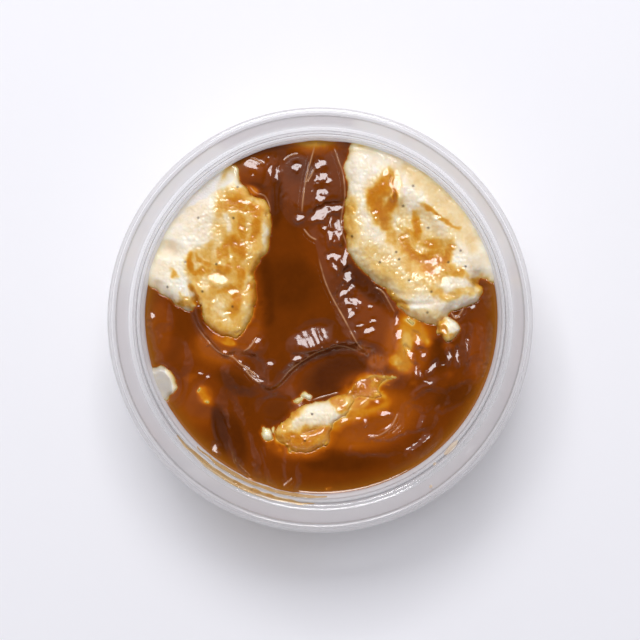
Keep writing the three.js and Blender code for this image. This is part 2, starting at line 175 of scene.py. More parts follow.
# %% Draw the inner line of the sheet
# All in mm: the sheet's thickness, how far the floor is raised, and radii and heights of its bends.
SHEET = 0.8
FOOT_RISE = 1.2
rim_radius = cad_box[1][0] / MM
foot_outer = rim_radius - 14.1
foot_inner = foot_outer - 3.9
floor_z = SHEET + FOOT_RISE
WALL_BOTTOM = (foot_outer + 0.7, floor_z)
WALL_TOP = (foot_outer + 5.7, RIM_HEIGHT - 11.4)
LEDGE_Z = RIM_HEIGHT - 8.6

inner_line = np.array([
    (0, floor_z),  # the floor, raised inside the foot ring
    (foot_inner - 1.2, floor_z),
    (foot_inner - 0.3, SHEET),  # the foot ring
    (foot_outer - 0.4, SHEET),
    WALL_BOTTOM,
    WALL_TOP,
    (WALL_TOP[0] + 0.4, WALL_TOP[1] + 0.8),  # the step out to the stacking ledge
    (WALL_TOP[0] + 1.3, WALL_TOP[1] + 1.2),
    (WALL_TOP[0] + 1.45, LEDGE_Z - 0.3),
    (WALL_TOP[0] + 1.75, LEDGE_Z),  # the ledge
    (WALL_TOP[0] + 3.0, LEDGE_Z + 0.1),
    (WALL_TOP[0] + 3.35, LEDGE_Z + 0.8),  # the sloped band above it
    (rim_radius - 2.6, RIM_HEIGHT - 1),  # the rolled rim
    (rim_radius - 2.2, RIM_HEIGHT - 0.2),
    (rim_radius - 1.6, RIM_HEIGHT),
    (rim_radius - 0.7, RIM_HEIGHT),
    (rim_radius - 0.1, RIM_HEIGHT - 0.4),
    (rim_radius, RIM_HEIGHT - 1.2),
    (rim_radius, RIM_HEIGHT - 3.4),  # its skirt
])


def wall_radius(z):
    """Inner radius of the tapered wall at a height."""
    slope = (WALL_TOP[0] - WALL_BOTTOM[0]) / (WALL_TOP[1] - WALL_BOTTOM[1])
    return WALL_BOTTOM[0] + slope * (z - WALL_BOTTOM[1])


print("rim radius", round(rim_radius, 2), "height", round(RIM_HEIGHT, 2), "mm")

# %% Round the corners and add the sheet's other face
CORNER_PASSES = 2


def rounded(line):
    """Cuts each corner of a line at a quarter and three quarters of its sides."""
    ahead, behind = line[1:], line[:-1]
    cut = np.stack([0.75 * behind + 0.25 * ahead, 0.25 * behind + 0.75 * ahead], 1)
    return np.vstack([line[:1], cut.reshape(-1, 2)[1:-1], line[-1:]])


def offset_line(line, distance):
    """The same line moved square to itself, to the right of the way it runs."""
    step = np.diff(line, axis=0)
    step /= np.linalg.norm(step, axis=1, keepdims=True)
    before = np.vstack([[1.0, 0.0], step])
    after = np.vstack([step, step[-1]])
    bisector = np.column_stack([before[:, 1] + after[:, 1], -before[:, 0] - after[:, 0]])
    return line + bisector * (2 * distance / (bisector ** 2).sum(1, keepdims=True))


sheet_inside = inner_line
for _ in range(CORNER_PASSES):
    sheet_inside = rounded(sheet_inside)
sheet_outside = offset_line(sheet_inside, SHEET)
section = np.vstack([sheet_outside, sheet_inside[::-1]])
print("points in the sheet's section:", len(section))

# %% Turn a section about the axis
TUB_SECTORS = 240


def turned(section, sectors):
    """Points and faces of a closed section of (radius, height) turned about Z."""
    angle = 2 * np.pi * np.arange(sectors) / sectors
    points = [[0, 0, section[0, 1]], [0, 0, section[-1, 1]]]
    rings = section[1:-1]
    for radius, height in rings:
        points += np.column_stack([radius * np.cos(angle), radius * np.sin(angle),
                                   np.full(sectors, height)]).tolist()
    faces = []
    for j in range(sectors):
        following = (j + 1) % sectors
        last = 2 + (len(rings) - 1) * sectors
        faces.append((0, 2 + following, 2 + j))
        faces.append((1, last + j, last + following))
        for k in range(len(rings) - 1):
            low, high = 2 + k * sectors, 2 + (k + 1) * sectors
            faces.append((low + j, low + following, high + following, high + j))
    return np.array(points), faces


tub_points, tub_faces = turned(section, TUB_SECTORS)
print("tub faces:", len(tub_faces))

# %% [markdown]
# ## The plastic
#
# The tub is clear polypropylene, a semi-crystalline plastic: clear but very slightly milky, glossy
# from a polished mould. It could be a refracting glass shader, but a sheet under a millimetre
# hardly bends the view, and straight-through light gives the food its true colour and the floor
# a clean soft shadow. So most light goes straight through, and about a tenth of it is bent, which
# draws the ledge and the bead. On top come a mirror that strengthens towards grazing angles
# (Schlick's rule) and a little white haze, more of it where light crosses the sheet at a slant.

# %% Clear moulded polypropylene
HAZE = 0.1
BENT_SHARE = 0.12
INDEX = 1.49
MIRROR_FACING, MIRROR_GRAZING = 0.04, 0.9
SCHLICK_POWER = 5.0
# The way through the sheet grows as 1 / (cosine + this), which keeps it finite at grazing angles.
GRAZING_LIMIT = 0.06
LIT_FROM_BEHIND = 0.45
# The tables start at this distance from the axis in mm, over the wall, and end at the rim.
RINGS_FROM = 48.0

# Cloudiness against that distance: the ledge, the bead and the skirt are thicker.
CLOUDY_AT = [(48.0, 5.0), (50.1, 4.4), (50.35, 0.9), (50.6, 3.0), (51.0, 3.0), (51.25, 0.8), (51.6, 0.8),
             (51.8, 3.0), (52.8, 3.0), (53.2, 1.9), (55.7, 1.9), (56.2, 1.2), (56.5, 4.2), (57.3, 3.0),
             (57.7, 5.0), (58.4, 7.0)]
CLOUDIEST = 7.0
# Share of light that gets through: less at the bends, where part of it is turned aside.
CLEAR_AT = [(48.0, 1.0), (50.05, 1.0), (50.25, 0.65), (50.45, 1.0), (51.2, 1.0), (51.42, 0.5),
            (51.65, 1.0), (55.8, 1.0), (56.1, 0.62), (56.35, 1.0), (58.0, 1.0), (58.2, 0.8)]
# Strength of the mirror: steam dulls the wall over the food.
MIRROR_AT = [(48.0, 0.35), (50.2, 0.35), (50.4, 1.0)]


def clear_polypropylene():
    """Looks clear and glossy, with milky rings where the sheet is folded."""
    material, tree = new_material("clear_moulded_polypropylene")
    facing = add_node(tree, "LayerWeight", inputs={"Blend": 0.5}).outputs["Facing"]
    steep = add_node(tree, "Math", {"operation": "POWER"}, {0: facing, 1: SCHLICK_POWER})
    mirror = add_node(tree, "MapRange", inputs={
        "Value": steep, "To Min": MIRROR_FACING, "To Max": MIRROR_GRAZING})
    cosine = add_node(tree, "Math", {"operation": "SUBTRACT"}, {0: 1 + GRAZING_LIMIT, 1: facing})
    way = add_node(tree, "Math", {"operation": "DIVIDE"}, {0: -HAZE * CLOUDIEST, 1: cosine})
    place = add_node(tree, "TexCoord").outputs["Object"]
    flat = add_node(tree, "VectorMath", {"operation": "MULTIPLY"}, {0: place, 1: (1.0, 1.0, 0.0)})
    across = add_node(tree, "VectorMath", {"operation": "LENGTH"}, {0: flat})
    share = add_node(tree, "MapRange", inputs={
        "Value": across.outputs["Value"], "From Min": RINGS_FROM * MM, "From Max": rim_radius * MM})

    def by_radius(table, scale):
        """A grey that depends on the distance from the axis, from a table in mm."""
        stops = [((radius - RINGS_FROM) / (rim_radius - RINGS_FROM), (value / scale,) * 3 + (1.0,))
                 for radius, value in table]
        return add_node(tree, "ValToRGB", inputs={0: share}, stops=stops)

    cloud = add_node(tree, "Math", {"operation": "MULTIPLY"},
                     {0: way, 1: by_radius(CLOUDY_AT, CLOUDIEST)})
    clear = add_node(tree, "Math", {"operation": "EXPONENT"}, {0: cloud})
    straight = add_node(tree, "BsdfTransparent", inputs={"Color": by_radius(CLEAR_AT, 1.0)})
    dulled = add_node(tree, "Math", {"operation": "MULTIPLY"},
                      {0: mirror, 1: by_radius(MIRROR_AT, 1.0)})
    bent = add_node(tree, "BsdfRefraction", inputs={
        "Color": linear("FBFBFC"), "Roughness": 0.05, "IOR": INDEX})
    through = add_node(tree, "MixShader", inputs={"Fac": BENT_SHARE, 1: straight, 2: bent})
    lit_above = add_node(tree, "BsdfDiffuse", inputs={"Color": linear("FAF9FA")})
    lit_behind = add_node(tree, "BsdfTranslucent", inputs={"Color": linear("F4F4F7")})
    haze = add_node(tree, "MixShader", inputs={"Fac": LIT_FROM_BEHIND, 1: lit_above, 2: lit_behind})
    body = add_node(tree, "MixShader", inputs={"Fac": clear, 1: haze, 2: through})
    gloss = add_node(tree, "BsdfAnisotropic", inputs={"Color": linear("FFFFFF"), "Roughness": 0.06})
    surface = add_node(tree, "MixShader", inputs={"Fac": dulled, 1: body, 2: gloss})
    add_node(tree, "OutputMaterial", inputs={"Surface": surface})
    return material


tub = make_piece("clear_tub", tub_points, tub_faces, clear_polypropylene())
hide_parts("tub")

# %% [markdown]
# ## Tools for a landscape
#
# The relief is built from a handful of shapes that are added up: banks with an outline, humps,
# folds along a curve, waves, and grain. All of them take whole arrays of x and y in millimetres,
# so a hundred thousand points take a second or two.

# %% Smooth steps, waves and grain
GOLDEN_ANGLE = 2.399963
# Random relief comes from square tables with this many cells a side, centred on the tub.
CELLS = 512


def smooth_step(t):
    """0 up to 0, 1 from 1 on, and a smooth rise between them."""
    u = np.clip(t, 0, 1)
    return u * u * (3 - 2 * u)


def soft_max(a, b, blend):
    """The larger of two heights, rounded where they meet."""
    h = np.maximum(blend - np.abs(a - b), 0) / blend
    return np.maximum(a, b) + h * h * blend / 4


def unevenness(x, y, length, seed):
    """A gentle swell between -1 and 1: six sine waves that cross at the golden angle."""
    total = 0
    for k in range(6):
        heading = seed + k * GOLDEN_ANGLE
        along = x * np.cos(heading) + y * np.sin(heading)
        total = total + np.sin(2 * np.pi * along / (length * (0.7 + 0.12 * k)) + seed * (k + 1) * 1.7)
    return total / 6


def cell_table(seed):
    """One random number between -1 and 1 for each cell of a large square grid."""
    return np.random.RandomState(seed).uniform(-1, 1, (CELLS, CELLS))


def grain(x, y, size, seed):
    """Smooth random relief between -1 and 1, with lumps of about this size."""
    table = cell_table(seed)
    u, v = x / size + CELLS // 2, y / size + CELLS // 2
    i, j = np.floor(u).astype(int), np.floor(v).astype(int)
    s, t = smooth_step(u - i), smooth_step(v - j)
    near = table[i, j] * (1 - s) + table[i + 1, j] * s
    far = table[i, j + 1] * (1 - s) + table[i + 1, j + 1] * s
    return near * (1 - t) + far * t


def wandered(x, y, reach, size, seed):
    """The same points, each moved a little at random, so that a shape gets an uneven outline."""
    return x + reach * grain(x, y, size, seed=seed), y + reach * grain(x, y, size, seed=seed + 1)


def crumbs(x, y, size, seed):
    """Crumbs pressed together: near 1 on each crumb, 0 in the seams between them."""
    table_x, table_y = cell_table(seed), cell_table(seed + 1)
    u, v = x / size + CELLS // 2, y / size + CELLS // 2
    i, j = np.floor(u).astype(int), np.floor(v).astype(int)
    first = np.full(x.shape, 9.0)
    second = np.full(x.shape, 9.0)
    for di in (-1, 0, 1):
        for dj in (-1, 0, 1):
            cx = i + di + 0.5 + 0.4 * table_x[i + di, j + dj]
            cy = j + dj + 0.5 + 0.4 * table_y[i + di, j + dj]
            d = np.hypot(u - cx, v - cy)
            second = np.minimum(second, np.maximum(first, d))
            first = np.minimum(first, d)
    return smooth_step((second - first) / 0.55) * (1 - 0.5 * first)


# %% Curves, loops and humps
def smooth_curve(points, closed=False, steps=6):
    """A smooth line through a few points."""
    p = np.array(points, float)
    ends = (p[-1:], p[:2]) if closed else (2 * p[:1] - p[1:2], 2 * p[-1:] - p[-2:-1])
    p = np.vstack([ends[0], p, ends[1]])
    line = []
    for a, b, c, d in zip(p, p[1:], p[2:], p[3:]):
        for t in np.arange(steps) / steps:
            line.append(0.5 * (2 * b + (c - a) * t + (2 * a - 5 * b + 4 * c - d) * t * t
                               + (3 * b - a - 3 * c + d) * t ** 3))
    return np.array(line + [p[-2]])


def nearest_on(curve, x, y):
    """Distance to a curve, how far along it (0 to 1), and its side (1 is to its left)."""
    best = np.full(x.shape, np.inf)
    along = np.zeros(x.shape)
    side = np.ones(x.shape)
    spans = len(curve) - 1
    for i in range(spans):
        (ax, ay), (dx, dy) = curve[i], curve[i + 1] - curve[i]
        t = np.clip(((x - ax) * dx + (y - ay) * dy) / (dx * dx + dy * dy), 0, 1)
        d = np.hypot(x - ax - t * dx, y - ay - t * dy)
        near = d < best
        best = np.where(near, d, best)
        along = np.where(near, (i + t) / spans, along)
        side = np.where(near, np.where(dx * (y - ay) - dy * (x - ax) >= 0, 1, -1), side)
    return best, along, side


# Outside a loop, distances are only worked out up to this many mm.
FAR = 12.0


def close_to(line, x, y, reach):
    """True for the points in the box round a line, so that the others can be left out."""
    low, high = line.min(0) - reach, line.max(0) + reach
    return (x > low[0]) & (x < high[0]) & (y > low[1]) & (y < high[1])


def inside_distance(loop, x, y):
    """Distance from a loop's line, positive inside it, and no more than FAR outside it."""
    near = close_to(loop, x, y, FAR)
    px, py = x[near], y[near]
    inside = np.zeros(px.shape, bool)
    for (ax, ay), (bx, by) in zip(loop[:-1], loop[1:]):
        if ay != by:
            crosses = ((ay > py) != (by > py)) & (px < ax + (py - ay) * (bx - ax) / (by - ay))
            inside ^= crosses
    depth = np.full(x.shape, -FAR)
    depth[near] = nearest_on(loop, px, py)[0] * np.where(inside, 1, -1)
    return depth


def ovals(rows):
    """Rows of a value, x, y, two half sizes and perhaps a turn, as pairs of the value and a place."""
    return [(value, dict(at=(x, y), half=(half_x, half_y), turn=turn[0] if turn else 0.0))
            for value, x, y, half_x, half_y, *turn in rows]


def from_middle(x, y, at, half, turn=0.0):
    """Distance from the middle of an oval: 1 at its half sizes."""
    c, s = np.cos(turn), np.sin(turn)
    u = ((x - at[0]) * c + (y - at[1]) * s) / half[0]
    v = ((y - at[1]) * c - (x - at[0]) * s) / half[1]
    return np.hypot(u, v)


def hump(x, y, at, half, turn=0.0):
    """A rounded hump that is 1 at its middle and 0 at its half sizes."""
    return 1 - smooth_step(from_middle(x, y, at, half, turn))


# Outlines of flat spots wander this far, in steps of this size, in mm.
SPOT_WANDER, SPOT_WANDER_SIZE = 0.45, 1.1


def with_spots(height, spots, ripple=0.0):
    """A height function with flat spots set into it, each leaning back with its own slope.

    A spot is flat as far as its half sizes and fades out at twice that.
    """
    middles = np.array([place["at"] for _, place in spots])
    levels = height(middles[:, 0], middles[:, 1])

    def spotted(x, y):
        """The height with its spots. Their outlines wander, and they ripple a little."""
        z = height(x, y)
        bent_x, bent_y = wandered(x, y, SPOT_WANDER, SPOT_WANDER_SIZE, seed=61)
        ripples = ripple * (grain(x, y, 0.9, seed=63) + 0.4 * grain(x, y, 0.5, seed=64))
        for (slope, place), level in zip(spots, levels):
            plane = level - slope * (y - place["at"][1]) + ripples
            z = z + (plane - z) * smooth_step(2 - from_middle(bent_x, bent_y, **place))
        return z

    return spotted


# A stroke is cut off past this many widths, and starts and ends at this share of half a wave.
STROKE_REACH = 7
STROKE_START = 0.06


def stroke(x, y, width, path, right_width=None, power=2):
    """A ridge along a path, lower at its ends, round on top if its power is 2, sharp if it is 1."""
    line = smooth_curve(path)
    right_width = right_width or width
    near = close_to(line, x, y, STROKE_REACH / power * max(width, right_width))
    distance, along, side = nearest_on(line, x[near], y[near])
    fade = np.sqrt(np.sin(np.pi * np.clip(along, STROKE_START, 1 - STROKE_START)))
    share = np.zeros(x.shape)
    share[near] = fade * np.exp(-(distance / np.where(side > 0, width, right_width)) ** power)
    return share


# %% [markdown]
# ## Where the gravy's skin lies
#
# Starch-thickened gravy sets to a skin that wrinkles and folds as it flows. From above, the folds
# are all that shows of its shape, because a glossy dark surface only shows where it tilts towards
# something bright. So each ridge has its own height and its own width on either side. A thick
# tongue of gravy has run down the middle and stopped in a lip, with a hollow under it.

# %% Level, tongue and crease
# The tongue stands TONGUE_RISE over the level, with an edge that is TONGUE_EDGE wide. To the left of
# the crease down its middle it sinks away over CREASE_FALL. All are in mm. The crease comes in over
# the share CREASE_START of its length.
GRAVY_LEVEL = 27.0
TONGUE_RISE = 1.6
TONGUE_EDGE = 1.8
CREASE_FALL = 8.0
CREASE_START = 0.4
TONGUE = smooth_curve([
    [-5.9, 52.1], [-18.5, 49.9], [-29.7, 35.9], [-32.5, 7.9], [-35.8, 3.4], [-33.9, -2.7],
    [-29.7, -8], [-25.7, -11.1], [-21.5, -14.5], [-17.6, -17.8], [-15.4, -19.5], [-12.9, -19.5],
    [-10.6, -17.5], [-7.8, -14.5], [-5.3, -12.2], [-1.7, -10.3], [2.5, -8.6], [5.6, -7.8],
    [8.7, -8.3], [12, -9.7], [17.6, -10.5], [27.7, -6.1], [27.7, 10.7], [22.1, 33.1], [19.3, 52.1]],
    closed=True)
CREASE = smooth_curve([
    [-11.2, 36.5], [-8.7, 32.3], [-6.4, 28.6], [-4.5, 25.5], [-2.2, 22.5], [-0.6, 16.6],
    [1.1, 10.7], [3.1, 6], [6.7, -0.5], [10.1, -6.9], [12, -9.7]])
print("points on the tongue's edge:", len(TONGUE), "and on the crease:", len(CREASE))


def broad_skin(x, y):
    """The gravy's height without its folds."""
    depth = inside_distance(TONGUE, x, y)
    distance, along, side = nearest_on(CREASE, x, y)
    beyond = np.where(side > 0, distance, 0) * smooth_step(along / CREASE_START)
    rise = TONGUE_RISE * np.exp(-beyond / CREASE_FALL)
    z = GRAVY_LEVEL + rise * smooth_step(depth / TONGUE_EDGE + 0.5)
    for depth_at_middle, place in HOLLOWS:
        z = z - depth_at_middle * smooth_step(2 * hump(x, y, **place))
    for height_at_middle, place in LOBES:
        z = z + height_at_middle * hump(x, y, **place)
    return z


# %% Broad hollows and lobes: depth or height, and place
HOLLOWS = ovals([
    (1.5, 3.1, -17.3, 17.3, 11.2, 0.3), (0.35, -12.9, -26.5, 6.2, 5.6, 0.2),
    (0.22, 31.1, -11.1, 9.5, 8.4), (0.3, -27.7, -30.7, 3.9, 8.4, 0.15),
])
LOBES = ovals([
    (0.8, -19.3, 40.9, 7.3, 5, -0.3), (0.7, 14.3, -27.9, 12.9, 8.4, 0.3),
    (0.5, -33, -22.3, 7.3, 6.7), (0.6, -25.5, -6.1, 10.1, 6.7, 0.1),
])

# %% Folds: height, width to its left, width to its right, path
FOLDS = [
    (0.35, 1.6, 2.2, [[1.7, 48.2], [0.8, 42.9], [0.3, 37.3], [1.4, 31.7], [3.1, 26.9], [4.5, 21.9],
        [5.9, 16.9], [7, 12.1], [8.1, 7.4], [8.7, 2.3], [9.8, -2.2], [12, -6.1]]),
    (0.25, 0.4, 0.7, [[-1.1, 49], [-2, 45.7], [-2.8, 42.1], [-3.6, 38.7], [-4.5, 34.5],
        [-5, 29.7]]),
    (0.3, 0.5, 0.7, [[-1.4, 42.1], [-2.2, 39.5], [-3.4, 37.6]]),
    (0.35, 0.6, 0.5, [[5.9, 44.3], [7, 40.9], [7.3, 37], [6.4, 32.3]]),
    (0.5, 0.9, 1.4, [[-14.8, 44.3], [-13.7, 40.9], [-14.3, 37.6], [-16.5, 35.9]]),
    (0.5, 0.9, 1.2, [[-11.8, 43.7], [-11.8, 40.1], [-12.9, 35.9], [-12.6, 30.3]]),
    (0.1, 1.2, 1.2, [[-10.6, 44.3], [-7, 46], [-3.1, 46.5]]),
    (0.4, 0.8, 1, [[-22.4, -9.4], [-19.9, -7.8], [-17.9, -5.2]]),
    (0.5, 1.6, 1.6, [[-16.5, -18.4], [-13.7, -20.6], [-10.4, -21.7], [-7, -21.2]]),
    (0.6, 1.8, 2, [[-32.5, -24.3], [-28.8, -25.4], [-26.3, -28.5], [-25.2, -32.7], [-23.5, -36.8],
        [-20.1, -40.8], [-15.9, -44.4]]),
    (0.4, 1.2, 1.2, [[-24.3, -23.4], [-22.7, -27.1], [-22.1, -31.3], [-21, -35.5], [-18.2, -39.6],
        [-14.8, -43.6]]),
    (0.5, 0.9, 0.9, [[-14.3, -34.1], [-12.6, -38.2], [-11.5, -42.4], [-10.6, -45.8]]),
    (0.4, 0.8, 0.8, [[-9.8, -37.4], [-8.4, -41], [-7.8, -44.7], [-9.2, -47.8]]),
    (0.3, 0.7, 0.7, [[-16.5, -36.8], [-15.4, -40.5], [-13.7, -44.7]]),
    (0.4, 1.6, 2.2, [[42.8, 5.7], [44.8, 0.9], [44.8, -3.8], [43.6, -9.4], [41.7, -13.9]]),
    (0.12, 1.6, 2.2, [[41.7, -13.9], [39.2, -16.7], [35.5, -18.7], [32.2, -19.5], [28.8, -19.5]]),
    (0.8, 1.2, 1.8, [[30.5, -19.5], [28, -21.2], [26.9, -23.4], [25.2, -26.8], [23.2, -30.1],
        [20.4, -32.9], [16.5, -34.9], [12.6, -36]]),
    (0.4, 0.7, 0.9, [[22.7, -26.2], [21, -29.6], [18.2, -31.5], [14.8, -32.7]]),
    (0.5, 2, 2, [[28.8, -26.2], [30.8, -30.7], [29.7, -35.2], [26, -38.5], [21.5, -40.5]]),
    (0.5, 2.2, 2.2, [[-44.2, 7.4], [-45, 2.3], [-44.2, -3.3], [-42.2, -8.9], [-40, -13.9]]),
    (0.5, 1.4, 1.4, [[-47.3, -13.3], [-43.4, -11.7], [-40, -14.5], [-38.9, -18.4], [-40, -22.3],
        [-42.8, -25.1]]),
    (0.5, 1.4, 1.6, [[12.6, 5.1], [15.9, 1.8], [18.2, -2.7], [19.9, -7.5]]),
    (0.4, 0.7, 0.7, [[14.3, 9], [17.3, 6.5], [19, 4.3], [20.4, 1.2]]),
    (0.4, 0.8, 0.8, [[32.7, -1], [34.1, 1.8], [36.4, 3.2]]),
    (0.4, 0.7, 0.8, [[36.7, 0.6], [38.6, -0.2], [40, 2], [40.3, 4.6]]),
]

# Folds with a sharp crest: the lip of the tongue, and the ridge that runs down its left side.
SHARP_FOLDS = [
    (0.65, 4.5, 2.3, [[-11.8, -18.4], [-8.7, -14.7], [-5, -11.9], [-1.4, -9.7], [2.5, -8.3],
        [5.9, -7.8]]),
    (0.3, 0.9, 0.9, [[-35.8, 0.1], [-33.9, -3.6], [-31.6, -6.4], [-29.7, -8.6], [-26, -10.8],
        [-21.8, -13.6], [-19, -15.9], [-16.5, -18.1], [-14.3, -19.8]]),
]

# %% Flat spots that lean back, so that they mirror the light: slope and place
# Broad ones lean a little and mirror the glow beside the soft box: they get a sheen.
SHEEN_SPOTS = ovals([
    (0.2, -2.5, -5.2, 4.2, 2.5, 0.35), (0.13, -5.9, 38.7, 4.2, 7.3, 0.2),
    (0.12, 3.4, 40.9, 3.1, 6.2), (0.13, 14, -1.9, 4.2, 10.1, 0.45), (0.12, -19.9, -5.5, 3.1, 3.1),
    (0.12, 2.5, -16.2, 9, 4.6, 0.35), (0.12, -12.9, -25.3, 3.4, 2.6, 0.3),
    (0.1, -45.6, 1.8, 2, 6.7, 0.1), (0.1, -41.7, -8.9, 2.8, 4.5, 0.4), (0.11, 43.4, -1.9, 2.5, 8.4),
    (0.11, 27.7, -29.9, 3.9, 5, -0.5), (0.11, -12.3, -41, 2.2, 5.6, 0.15),
    (0.11, -8.4, -42.4, 1.4, 5), (0.1, -21.5, -15, 3.4, 3.9, 0.7),
    (0.1, -22.6, -34.1, 1.9, 8.4, 0.3), (0.12, 43.1, -8.9, 1.4, 4.5),
    (0.12, 42, -16.1, 1.4, 3.4, -0.31), (0.09, 38.1, -21.7, 3.9, 1.4, 0.68),
    (0.11, 31.1, -23.4, 3.1, 2.2), (0.12, 29.7, -29.6, 1.3, 3.6, -0.37),
    (0.06, 24.1, -34.6, 4.5, 1.4, 0.45), (0.11, 15.4, -36.3, 5, 1.4, 0.05),
])
# Small ones lean enough to mirror the soft box itself.
MIRROR_SLOPE = 0.29
BRIGHT_SPOTS = ovals([
    (0.28, 3.6, 26.9, 1.1, 1.1, 0.3), (0.28, 4.2, 22.5, 0.8, 1.1),
    (0.28, 1.4, 25.3, 0.8, 0.7, -0.4),
    # down the channel
    (0.21, -0.3, 42.9, 1, 1.3), (0.21, 0.3, 38.7, 1.3, 2, -0.1), (0.21, 0, 34.5, 1.4, 1.7, -0.2),
    (0.29, 1.1, 29.5, 3.6, 1.5, 0.35), (0.29, 4.2, 27.2, 1.7, 1.1, -0.4),
    (0.29, 6.7, 8.5, 0.7, 1.1, 0.3), (0.29, 9.8, 5.1, 0.8, 0.6, 0.5), (0.29, 2.5, 24, 0.6, 2.2),
    (0.29, 4.2, 26.9, 1.5, 1.7, 0.3), (0.29, 4.8, 24.7, 1, 2.7), (0.29, 3.4, 17.2, 1.4, 1, -0.3),
    (0.29, 6.7, 17.2, 0.7, 2.5), (0.29, 3.9, 14.4, 0.5, 1.4, 0.46), (0.29, 7.6, 11.8, 1, 1.7, -0.2),
    (0.29, 6.4, 6.2, 1.4, 1.6, 0.4), (0.29, 8.4, 8.5, 0.6, 1.1), (0.29, 8.4, 4.3, 1.8, 1.4, -0.3),
    (0.29, 8.1, 1.5, 0.7, 1.3), (0.29, 14, 3.4, 0.4, 0.5), (0.29, 13.4, -3.3, 1, 0.7, 0.6),
    (0.29, 10.9, -1.9, 1, 0.4), (0.29, 14.3, -0.8, 0.7, 0.4, 0.4), (0.29, 21.3, -1, 0.5, 1.7),
    (0.29, 21.8, -4.4, 0.8, 1.4, 0.2),
    # the brushed patch behind the lip, and dashes on the lip
    (0.29, 0.6, -8, 1.5, 0.4, 0.4), (0.29, 4.5, -6.6, 0.7, 0.4, 0.4), (0.29, -6.7, -11.1, 1.1, 0.7),
    (0.29, -14.5, -12.8, 0.8, 0.8), (0.29, -17.9, -6.4, 0.6, 0.8),
    # the top left lobe
    (0.29, -7, 42.3, 0.6, 0.8), (0.29, -12.3, 40.7, 0.4, 1.8), (0.29, -14.3, 40.9, 0.4, 1.3),
    (0.29, -18.5, 44, 1.8, 0.4, -0.4), (0.29, -19, 40.1, 0.4, 0.4),
    (0.21, -6.2, 28.3, 1.1, 1, -0.4),
    # the pool at the right
    (0.29, 27.1, -6.4, 0.7, 2, 0.4), (0.21, 28.5, -10, 0.7, 1.1, 0.2),
    (0.29, 24.9, -10, 0.6, 1.8, 0.4), (0.29, 26.6, -15, 0.4, 1.3), (0.29, 27.8, -15.5, 0.35, 0.9),
    (0.29, 31.1, -13.9, 0.5, 1.6, -0.5), (0.29, 33.9, -13.3, 0.7, 0.3, 0.6),
    (0.29, 29.4, -17.9, 0.8, 0.25), (0.29, 35.8, -10.5, 0.5, 1.8), (0.29, 38.1, -10.5, 0.5, 1.8),
    (0.29, 40.9, -7.5, 0.4, 1.8), (0.29, 42.5, 3.2, 0.4, 0.7),
    # right of the strip
    (0.29, 18.2, -26.8, 1.1, 0.7, -0.3), (0.29, 14.5, -32.9, 1.4, 0.5, -0.1),
    (0.29, 6.4, -28.5, 1.1, 0.7, 0.6), (0.29, 10.4, -27.9, 0.7, 0.4, -0.3),
    (0.29, 12.3, -28.7, 0.4, 1.1), (0.29, 15.9, -23.4, 0.4, 0.6),
    # the ridge down the left side
    (0.29, -26.6, -9.4, 1.2, 0.5, -0.5), (0.29, -24.6, -10.8, 1.1, 0.6, -0.7),
    (0.29, -22.7, -12.5, 1.2, 0.6, -0.75), (0.29, -20.7, -14.2, 1.2, 0.5, -0.75),
    (0.29, -18.7, -15.9, 1.1, 0.45, -0.75), (0.29, -17.1, -17.3, 1.1, 0.45, -0.4),
    (0.29, -31.9, -6.4, 0.8, 0.4, -0.9),
    # the left
    (0.29, -33.6, -15.6, 0.7, 0.4), (0.29, -31.9, -16.4, 0.4, 0.6),
    (0.29, -29.7, -36.8, 0.6, 1.3, 0.4), (0.29, -47.3, 0.9, 0.3, 1.1),
])
# Fine ridges in the skin, thinner than the mesh can hold: strength and path. Their bead is made in
# the material from each point's distance to the ridge, with a paler line that is partly a painted
# highlight.
FINE_RIDGES = [
    (1, [[-0.8, 17.4], [1.1, 10.7], [3.1, 6], [6.7, -0.5], [10.1, -6.9], [11.8, -9.1]]),
    (0.8, [[-1.4, 49.3], [-2.8, 44.3], [-4.2, 38.7], [-5, 33.1], [-5.3, 29.2]]),
    (0.7, [[-1.7, 42.1], [-2.8, 39.8], [-3.9, 37.9]]),
    (0.7, [[3.6, 47.9], [4.8, 44.3], [6.2, 40.1], [6.7, 34.5], [6.2, 30.3]]),
    (1, [[-35, -2.2], [-32.5, -5.5], [-29.7, -8.6], [-27.1, -10.3], [-24.9, -10.8], [-22.7, -12.8],
        [-19.9, -14.7], [-16.5, -17.5]]),
    (0.9, [[-21.3, -14.5], [-19, -17], [-16.8, -18.4]]),
    (0.9, [[-11.8, -18.4], [-8.7, -14.7], [-5, -11.9], [-1.4, -9.7], [2.5, -8.3], [5.9, -7.8],
        [10.4, -9.4]]),
    (0.8, [[-10.6, 44], [-8.7, 45.4], [-6.4, 46]]),
    (0.9, [[-19.9, 44.9], [-18.2, 44.3], [-16.2, 43.2]]),
    (0.9, [[-20.1, 37], [-18.2, 35.1], [-15.7, 34.2], [-14.5, 31.7], [-14.3, 29.5]]),
    (0.9, [[-21.8, -9.4], [-19.9, -8], [-17.9, -5.2]]),
    (0.9, [[14.8, 8.8], [17.3, 7.4], [19, 4.6], [20.7, 1.5]]),
    (0.9, [[32.2, -2.2], [33.3, 1.8], [36.1, 4]]),
    (0.9, [[36.4, 1.5], [37.8, 0.1], [40, 2.9]]),
    (0.9, [[13.2, -33.5], [16.5, -32.7], [19.6, -30.4], [21.8, -26.2]]),
    (0.8, [[19.9, -32.4], [22.4, -29.9]]),
    (0.8, [[-5, 25.3], [-3.1, 23], [-1.1, 21.9]]),
    (0.9, [[-10.6, -47.2], [-8.1, -45]]),
    (0.9, [[-21, -44.7], [-16.5, -46.9], [-13.2, -48.3]]),
    (0.9, [[-32.2, -0.2], [-29.4, -1], [-25.7, -3]]),
    (0.8, [[-2.8, -23.1], [1.1, -22], [5, -20.9]]),
    (0.6, [[6.7, 33.7], [5.6, 26.9], [7, 21.1], [8.7, 17.2]]),
]
